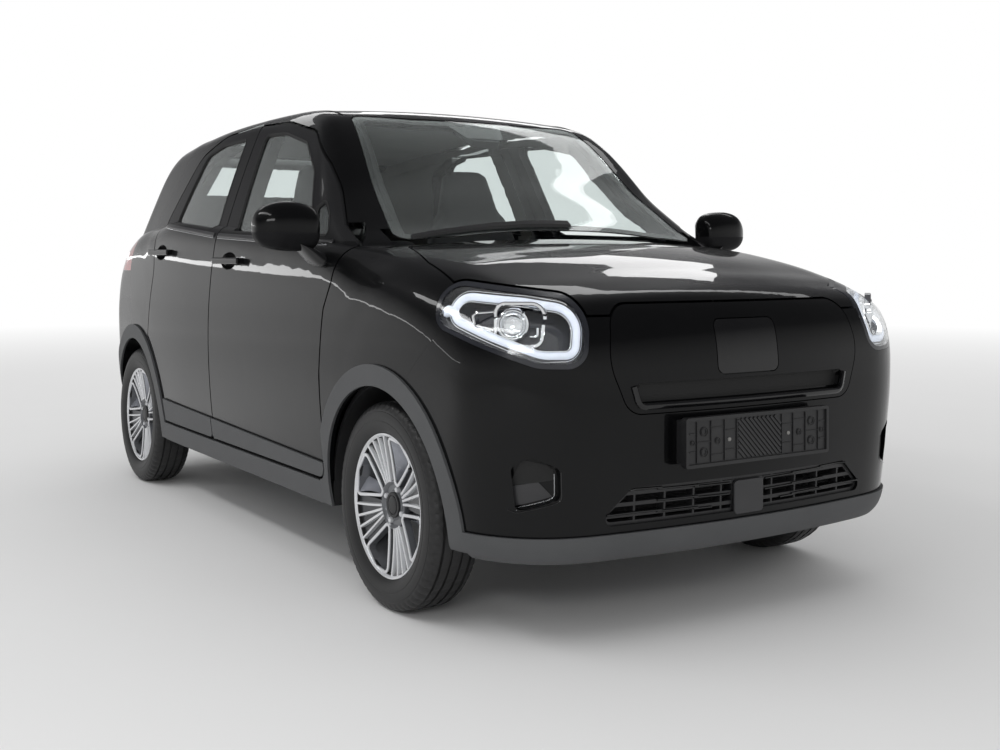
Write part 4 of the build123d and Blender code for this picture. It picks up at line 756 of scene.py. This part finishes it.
CORNER = search_tree("front_bumper", "front_lip")
for side, sign in SIDES.items():
    for name, corners, lift, finish in (
            ("hollow", [(606, 480), (676, 500), (696, 432), (606, 446)], 1.2, "rubber"),
            ("panel", [(640, 442), (692, 430), (686, 378), (606, 404)], 1.0, "satin_trim")):
        quad = [(sign * u, v) for u, v in corners]
        patch(f"corner_{name}_{side}", CORNER, quad, (8, 6), front_view, lift, 1.0, finish, "body")
    # The second edge line is bright metal: a painted highlight along the bumper corner's edge, inside the gloss black
    # line.
    for n, (line, finish) in enumerate((
            ([(598, 468), (594, 396), (610, 388), (690, 364), (704, 372)], "gloss_black"),
            ([(603, 462), (600, 402), (614, 394), (688, 371)], "painted_highlight_metal"))):
        path = resampled(rounded([(sign * u, v, 12) for u, v in line], closed=False), 5.0, False)
        sweep(f"corner_edge_{side}_{n}", laid_on(CORNER, path, front_view), ridge(1.3, -2, 0.6, 1.4), finish,
              "body", False)

PLATE_X, PLATE_Z = 1824.0, 524.0
RIB_PITCH, RIB_REACH, RIB_FIELD = 15.5, 52, 80.0  # slanting ribs, which end at the field's sides


def on_plate(u, v, h):
    return mm(PLATE_X + h, u, PLATE_Z + v)


runs = []
for k in range(-7, 8):
    u = k * RIB_PITCH
    a, b = Vector((u + RIB_REACH, -RIB_REACH)), Vector((u - RIB_REACH, RIB_REACH))
    if a.x > RIB_FIELD:
        a = a.lerp(b, (a.x - RIB_FIELD) / (a.x - b.x))
    if b.x < -RIB_FIELD:
        b = b.lerp(a, (-RIB_FIELD - b.x) / (a.x - b.x))
    if (a - b).length > 14:
        runs.append((a.x, a.y, b.x, b.y, 8.0, -0.5, 3.0))
for u in (-226, -176, -128, -84, 84, 128, 176, 226):
    runs.append((u, -54, u, 54, 2.4, -0.5, 3.6))
for s in (-1, 1):
    runs.append((s * 178, 0, s * 224, 0, 2.2, -0.5, 3.2))
    for u0, u1, v, width in ((88, 122, 26, 2), (232, 252, 24, 3), (132, 172, 36, 2)):
        runs += [(s * u0, row, s * u1, row, width, -0.5, 2.6) for row in (v, -v)]
bars("plate_carrier_ribs", runs, on_plate, "black_plastic", "body")
BOSS = [(-6, -0.5), (-6, 2.0), (-3.5, 2.0), (-3, 0.4), (-1.6, 0.4), (-1.2, 2.4), (0, 2.4), (0, -0.5)]
for n, s in enumerate((-1, 1)):
    for k, (u, v, r) in enumerate(((200, 27, 13), (200, -27, 13), (152, 0, 9), (240, 0, 7))):
        spun(f"plate_boss_{4 * n + k}", [(r + step, high) for step, high in BOSS],
             lambda a, b, h, u=u * s, v=v: on_plate(u + a, v + b, h), "black_plastic", "body", 24)
    spun(f"plate_screw_{n}", [(0, 4.2), (3, 4.0), (5.2, 2.6), (5.6, -0.5)],
         lambda a, b, h, u=s * 110: on_plate(u + a, b, h), "lining", "body", 20)

GRILLE_TREE = search_tree("lower_grille", "front_bumper")
cover = resampled(rounded([(-54, 308, 12), (-54, 402, 12), (54, 402, 12), (54, 308, 12)]), 6.0)
hit = laid_on(GRILLE_TREE, [Vector((0, 370))], front_view)[0][0]
slab("sensor_cover", cover, lambda u, v, h: (hit.x + h / 1000, u / 1000, v / 1000), 9.0, "satin_trim", "body", 2.0)
for n, s in enumerate((-1, 1)):
    for row, v in enumerate((336, 366, 396)):
        reach = 470 - 34 * row
        for k, (u0, u1) in enumerate(((66, 190), (176, 310), (296, reach))):
            path = resampled([Vector((s * u0, v + 5 * k)), Vector((s * u1, v + 5 * k + 2))], 20.0, False)
            hits = [(p + PROUD, Vector((1, 0, 0))) for p, _ in laid_on(GRILLE_TREE, path, front_view)]
            if len(hits) > 2:
                sweep(f"grille_blade_{n}_{row}_{k}", hits, ridge(3, -16, -2, 0, 1.5), "gloss_black", "body", False)


# ======== windscreen and roof
SCREEN = [(915, 0), (908, 400), (872, 612, 50), (262, 478, 50), (303, 250), (309, 0), (303, -250), (262, -478, 50),
          (872, -612, 50), (908, -400)]
SCREEN_TREE = search_tree("windscreen")
UNDER = 6.2  # depth of the pane's inner face
edge = resampled(offset_loop(rounded(SCREEN), 16.0), 16.0)
band = [(place - normal * (UNDER / 1000), normal) for place, normal in laid_on(SCREEN_TREE, edge, top_view)]
sweep("screen_border", band, [(-13, -0.6), (-13, 0), (24, 0), (24, -0.6)], "rubber", "body")
patch("screen_shade", SCREEN_TREE, [(326, -120), (326, 120), (420, 78), (420, -78)], (12, 6), top_view,
      -UNDER + 0.4, 0.8, "gloss_black", "body")
patch("camera_housing", SCREEN_TREE, [(340, -84), (340, 84), (430, 58), (430, -58)], (10, 6), top_view,
      -UNDER - 3.0, 26.0, "black_plastic", "body")
for side, sign in SIDES.items():
    roof = search_tree("roof_panel", f"side_frame_{side}")
    line = resampled([Vector((250, sign * 502)), Vector((-1330, sign * 502))], 30.0, False)
    sweep(f"roof_strip_{side}", laid_on(roof, line, top_view), ridge(7, -2, 0.6, 1.8, 3), "rubber", "body", False)


# ======== cabin
FRONT_SEAT_Y = 330
SEAT_STEPS = 28
CORNER_POWER = 3.4  # how square a seat form's section is; 2 would be an ellipse


def seat_form(name, rows, crown=0.0, bolster=0.0):
    """A padded form through rows (centre, width, depth, facing) in mm, its front dished between bolsters."""
    verts = []
    for centre, width, depth, facing in rows:
        centre, facing = Vector(centre), Vector(facing).normalized()
        for i in range(SEAT_STEPS):
            a = 2 * math.pi * i / SEAT_STEPS
            y = width / 2 * signed_power(math.cos(a), 2 / CORNER_POWER)
            d = depth / 2 * signed_power(math.sin(a), 2 / CORNER_POWER)
            if math.sin(a) > 0:
                share = abs(y) / (width / 2)
                d += crown * (1 - share ** 2) - bolster * (1 - min(1.0, share / 0.72) ** 3)
            verts.append((centre + Vector((0, y, 0)) + facing * d) / 1000)
    piece = add_mesh(name, verts, loft_faces(len(rows), SEAT_STEPS), "seat_cloth", "body", 180.0)
    soften(piece)
    return piece


def stack(points, count):
    """Rows spread smoothly through a few key rows."""
    out = []
    for k in range(count):
        t = k / (count - 1) * (len(points) - 1)
        i = min(int(t), len(points) - 2)
        f = t - i
        f = f * f * (3 - 2 * f)
        out.append(tuple(tuple(Vector(a).lerp(Vector(b), f)) if isinstance(a, tuple) else a + (b - a) * f
                         for a, b in zip(points[i], points[i + 1])))
    return out


# seat rows as (forward of the seat's middle, height, share of its width, depth)
CUSHION = [(-215, 462, 0.90, 60), (-190, 462, 0.96, 120), (0, 458, 1.0, 134), (190, 470, 0.98, 126),
           (238, 468, 0.94, 96), (250, 462, 0.86, 50)]
FRONT_BACK = [(-188, 470, 0.80, 70), (-198, 510, 0.90, 124), (-240, 700, 0.98, 136), (-296, 920, 0.94, 124),
              (-334, 1060, 0.88, 112), (-356, 1140, 0.78, 100), (-374, 1210, 0.57, 92), (-390, 1290, 0.48, 88),
              (-402, 1350, 0.41, 74), (-406, 1372, 0.28, 40)]
REAR_BACK = [(-188, 440, 0.80, 70), (-196, 470, 0.90, 120), (-232, 640, 0.98, 132), (-276, 830, 0.94, 124),
             (-300, 900, 0.93, 104), (-306, 918, 0.88, 60)]
HEAD = [(-318, 894, 200, 62), (-320, 930, 236, 88), (-332, 1010, 232, 92), (-340, 1060, 196, 78),
        (-342, 1080, 140, 46)]
UP, AHEAD = (0.08, 0, 1), (1, 0, 0.16)  # how a cushion and a back face


def build_seat(tag, x, y, width, back, heads):
    """A cushion, a reclined back with bolsters, and head restraints at the offsets across."""
    def form(name, rows, count, facing, scale, dy=0, **shape):
        rows = [((x + ahead, y + dy, z), scale * wide, depth, facing) for ahead, z, wide, depth in rows]
        return seat_form(f"{tag}_{name}", stack(rows, count), **shape)

    pieces = [form("cushion", CUSHION, 12, UP, width, bolster=16),
              form("back", back, 3 * len(back) - 2, AHEAD, width, bolster=18)]
    return pieces + [form(f"head_{k}", HEAD, 9, AHEAD, 1, dy, crown=6) for k, dy in enumerate(heads)]


front = []
for side, sign in SIDES.items():
    front += build_seat(f"front_seat_{side}", 120, sign * FRONT_SEAT_Y, 490, FRONT_BACK, ())
rear = build_seat("rear_seat", -620, 0, 1160, REAR_BACK, (-360, 360))
for pieces, node in ((front, "front_seats"), (rear, "rear_bench")):
    for piece in pieces:
        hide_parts(node)
for side, sign in SIDES.items():
    base = resampled(rounded([(-90, 262, 10), (-90, 400, 20), (330, 400, 20), (330, 262, 10)]), 20)
    slab(f"front_seat_base_{side}", base, lambda u, v, h, y=sign * FRONT_SEAT_Y: mm(u, y - 195 + h, v), 390.0,
         "dash", "body", 8.0)
base = resampled(rounded([(-845, 262, 10), (-845, 404, 10), (-424, 404, 30), (-424, 262, 10)]), 20)
slab("rear_seat_base", base, lambda u, v, h: mm(u, h - 560, v), 1120.0, "dash", "body", 8.0)

# -------- steering wheel and dashboard
HUB = Vector(mm(440, FRONT_SEAT_Y, 905))
TILT = Matrix.Rotation(math.radians(-62), 3, "Y")


def at_wheel(u, v, h):
    return tuple(HUB + TILT @ Vector((u, v, h)) / 1000)


GRIP_RADIUS, GRIP_HALF = 178, 13
grip = [(GRIP_RADIUS + GRIP_HALF * math.cos(2 * math.pi * k / 14), GRIP_HALF * math.sin(2 * math.pi * k / 14))
        for k in range(15)]
ring = spun("steering_grip", grip, at_wheel, "dash", "steering_wheel", 72, 80.0)
spun("steering_hub", [(0, 14), (30, 13), (52, 9), (62, 0), (58, -22), (34, -30), (30, -60), (30, -134)], at_wheel,
     "dash", "steering_wheel", 40, 60.0)
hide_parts("steering_wheel")
for k, (u, v) in enumerate(((-1, 0), (0, -1), (0, 1))):
    bars(f"steering_spoke_{k}", [(176 * u, 176 * v, 50 * u, 50 * v, 34, -10, 4)], at_wheel, "dash",
         "steering_wheel")
for name, y0, y1, z0, z1, x in (("driver_screen", 215, 445, 985, 1072, 596),
                                ("centre_screen", -150, 130, 905, 1066, 566)):
    loop = resampled(rounded([(y0, z0, 12), (y0, z1, 12), (y1, z1, 12), (y1, z0, 12)]), 8.0)
    slab(name, loop, lambda u, v, h, x=x: mm(x + h + (v - 985) * 0.12, u, v), 16.0, "screen", "body", 2.0)


# ======== stage, light and camera
FLOOR_SIZE, FLOOR_COLOUR = 160, (0.80, 0.80, 0.80)
FLOOR_FADE = (2.2, 14.0)  # distance over which the floor fades to white where it is looked at
FLOOR_GLOSS = 0.35  # how much of that white the object's own reflections see
AMBIENT, WHITE = 0.68, (1, 1, 1, 1)
HORIZON, OVERHEAD = (0.72, 0.72, 0.72), (0.10, 0.10, 0.105)  # what mirrors see
LAMPS = [  # place, target, (length, width), watts
    ("strip_0", (0.4, -3.6, 4.2), (0.4, -1.98, 0.6), (7.0, 0.5), 75),
    ("strip_1", (-0.8, 3.4, 4.2), (0.4, 1.87, 0.6), (4.0, 0.5), 12),
    ("strip_2", (-5.2, 0.6, 4.2), (0.4, 0.33, 0.6), (4.0, 0.6), 14),
    ("strip_3", (-5.2, 4.6, 4.2), (0.4, 2.53, 0.6), (4.0, 0.8), 24),
    ("side_strip", (-12.0, -7.0, 2.0), (0.0, -0.8, 0.9), (18.0, 0.15), 40),
    ("fill", (7.0, -5.0, 3.4), (0.6, 0, 0.7), (4.0, 1.0), 90),
]


def build_stage():
    """A pale matte floor that fades to white far off, where only cameras, mirrors and glass look."""
    tree, shader = node_material("studio_floor")
    tree.links.new(near(tree, object_noise(tree, 0.8, 3.0), FLOOR_COLOUR, 0.985), shader.inputs["Base Color"])
    give(shader, {"Roughness": 0.85, "Specular IOR Level": 0.1})
    x, y, _ = place_of(tree)
    squares = [math_node(tree, "MULTIPLY", value, value) for value in (x, y)]
    far = math_node(tree, "SQRT", math_node(tree, "ADD", *squares))
    path, looked = looks(tree)
    mirrored = math_node(tree, "MULTIPLY", path.outputs["Is Glossy Ray"], FLOOR_GLOSS)
    fade = math_node(tree, "MULTIPLY", math_node(tree, "MAXIMUM", looked, mirrored), between(tree, far, *FLOOR_FADE))
    white = tree.nodes.new("ShaderNodeEmission")
    give(white, {"Color": WHITE})
    both = mixed_shaders(tree, fade, shader.outputs["BSDF"], white.outputs["Emission"])
    tree.links.new(both, tree.nodes["Material Output"].inputs["Surface"])
    bpy.ops.mesh.primitive_plane_add(size=FLOOR_SIZE, location=(0, 0, 0))
    floor = bpy.context.object
    floor.name = "studio_floor"
    floor.data.materials.append(MATERIALS["studio_floor"])


def build_world():
    """Even light from all round; what mirrors see is white at the horizon and darker overhead, like a studio."""
    world = bpy.data.worlds.new("studio")
    scene.world = world
    world.use_nodes = True
    tree = world.node_tree
    coord = tree.nodes.new("ShaderNodeTexCoord")
    split = tree.nodes.new("ShaderNodeSeparateXYZ")
    tree.links.new(coord.outputs["Generated"], split.inputs[0])
    seen, clear = (tree.nodes.new("ShaderNodeBackground") for _ in range(2))
    tree.links.new(ramp_between(tree, split.outputs[2], HORIZON, OVERHEAD, 0.04, 0.34), seen.inputs["Color"])
    ambient = tree.nodes["Background"]
    for ground, strength in ((ambient, AMBIENT), (seen, 1.0), (clear, 1.0)):
        give(ground, {"Color": WHITE, "Strength": strength})
    path, looked = looks(tree)
    light = mixed_shaders(tree, path.outputs["Is Glossy Ray"], ambient.outputs[0], seen.outputs[0])
    light = mixed_shaders(tree, looked, light, clear.outputs[0])
    tree.links.new(light, tree.nodes["World Output"].inputs["Surface"])


def area_lamp(name, place, target, size, power):
    data = bpy.data.lights.new(name, "AREA")
    data.shape = "RECTANGLE"
    data.size, data.size_y = size
    data.energy = power
    lamp = bpy.data.objects.new(name, data)
    lamp.location = place
    lamp.rotation_euler = (Vector(target) - Vector(place)).to_track_quat("-Z", "Y").to_euler()
    scene.collection.objects.link(lamp)


def build_camera():
    """A level camera ahead and to the right, whose vertical shift keeps upright lines upright."""
    data = bpy.data.cameras.new("camera")
    data.sensor_width, data.lens = 36.0, 44.18
    data.shift_y = -0.1206
    data.clip_end = 300.0
    camera = bpy.data.objects.new("camera", data)
    camera.location = (4.2554, -2.3996, 1.0183)
    camera.rotation_euler = (math.radians(90.0), 0.0, math.radians(57.3))
    scene.collection.objects.link(camera)
    scene.camera = camera


build_stage()
build_world()
for lamp in LAMPS:
    area_lamp(*lamp)
build_camera()
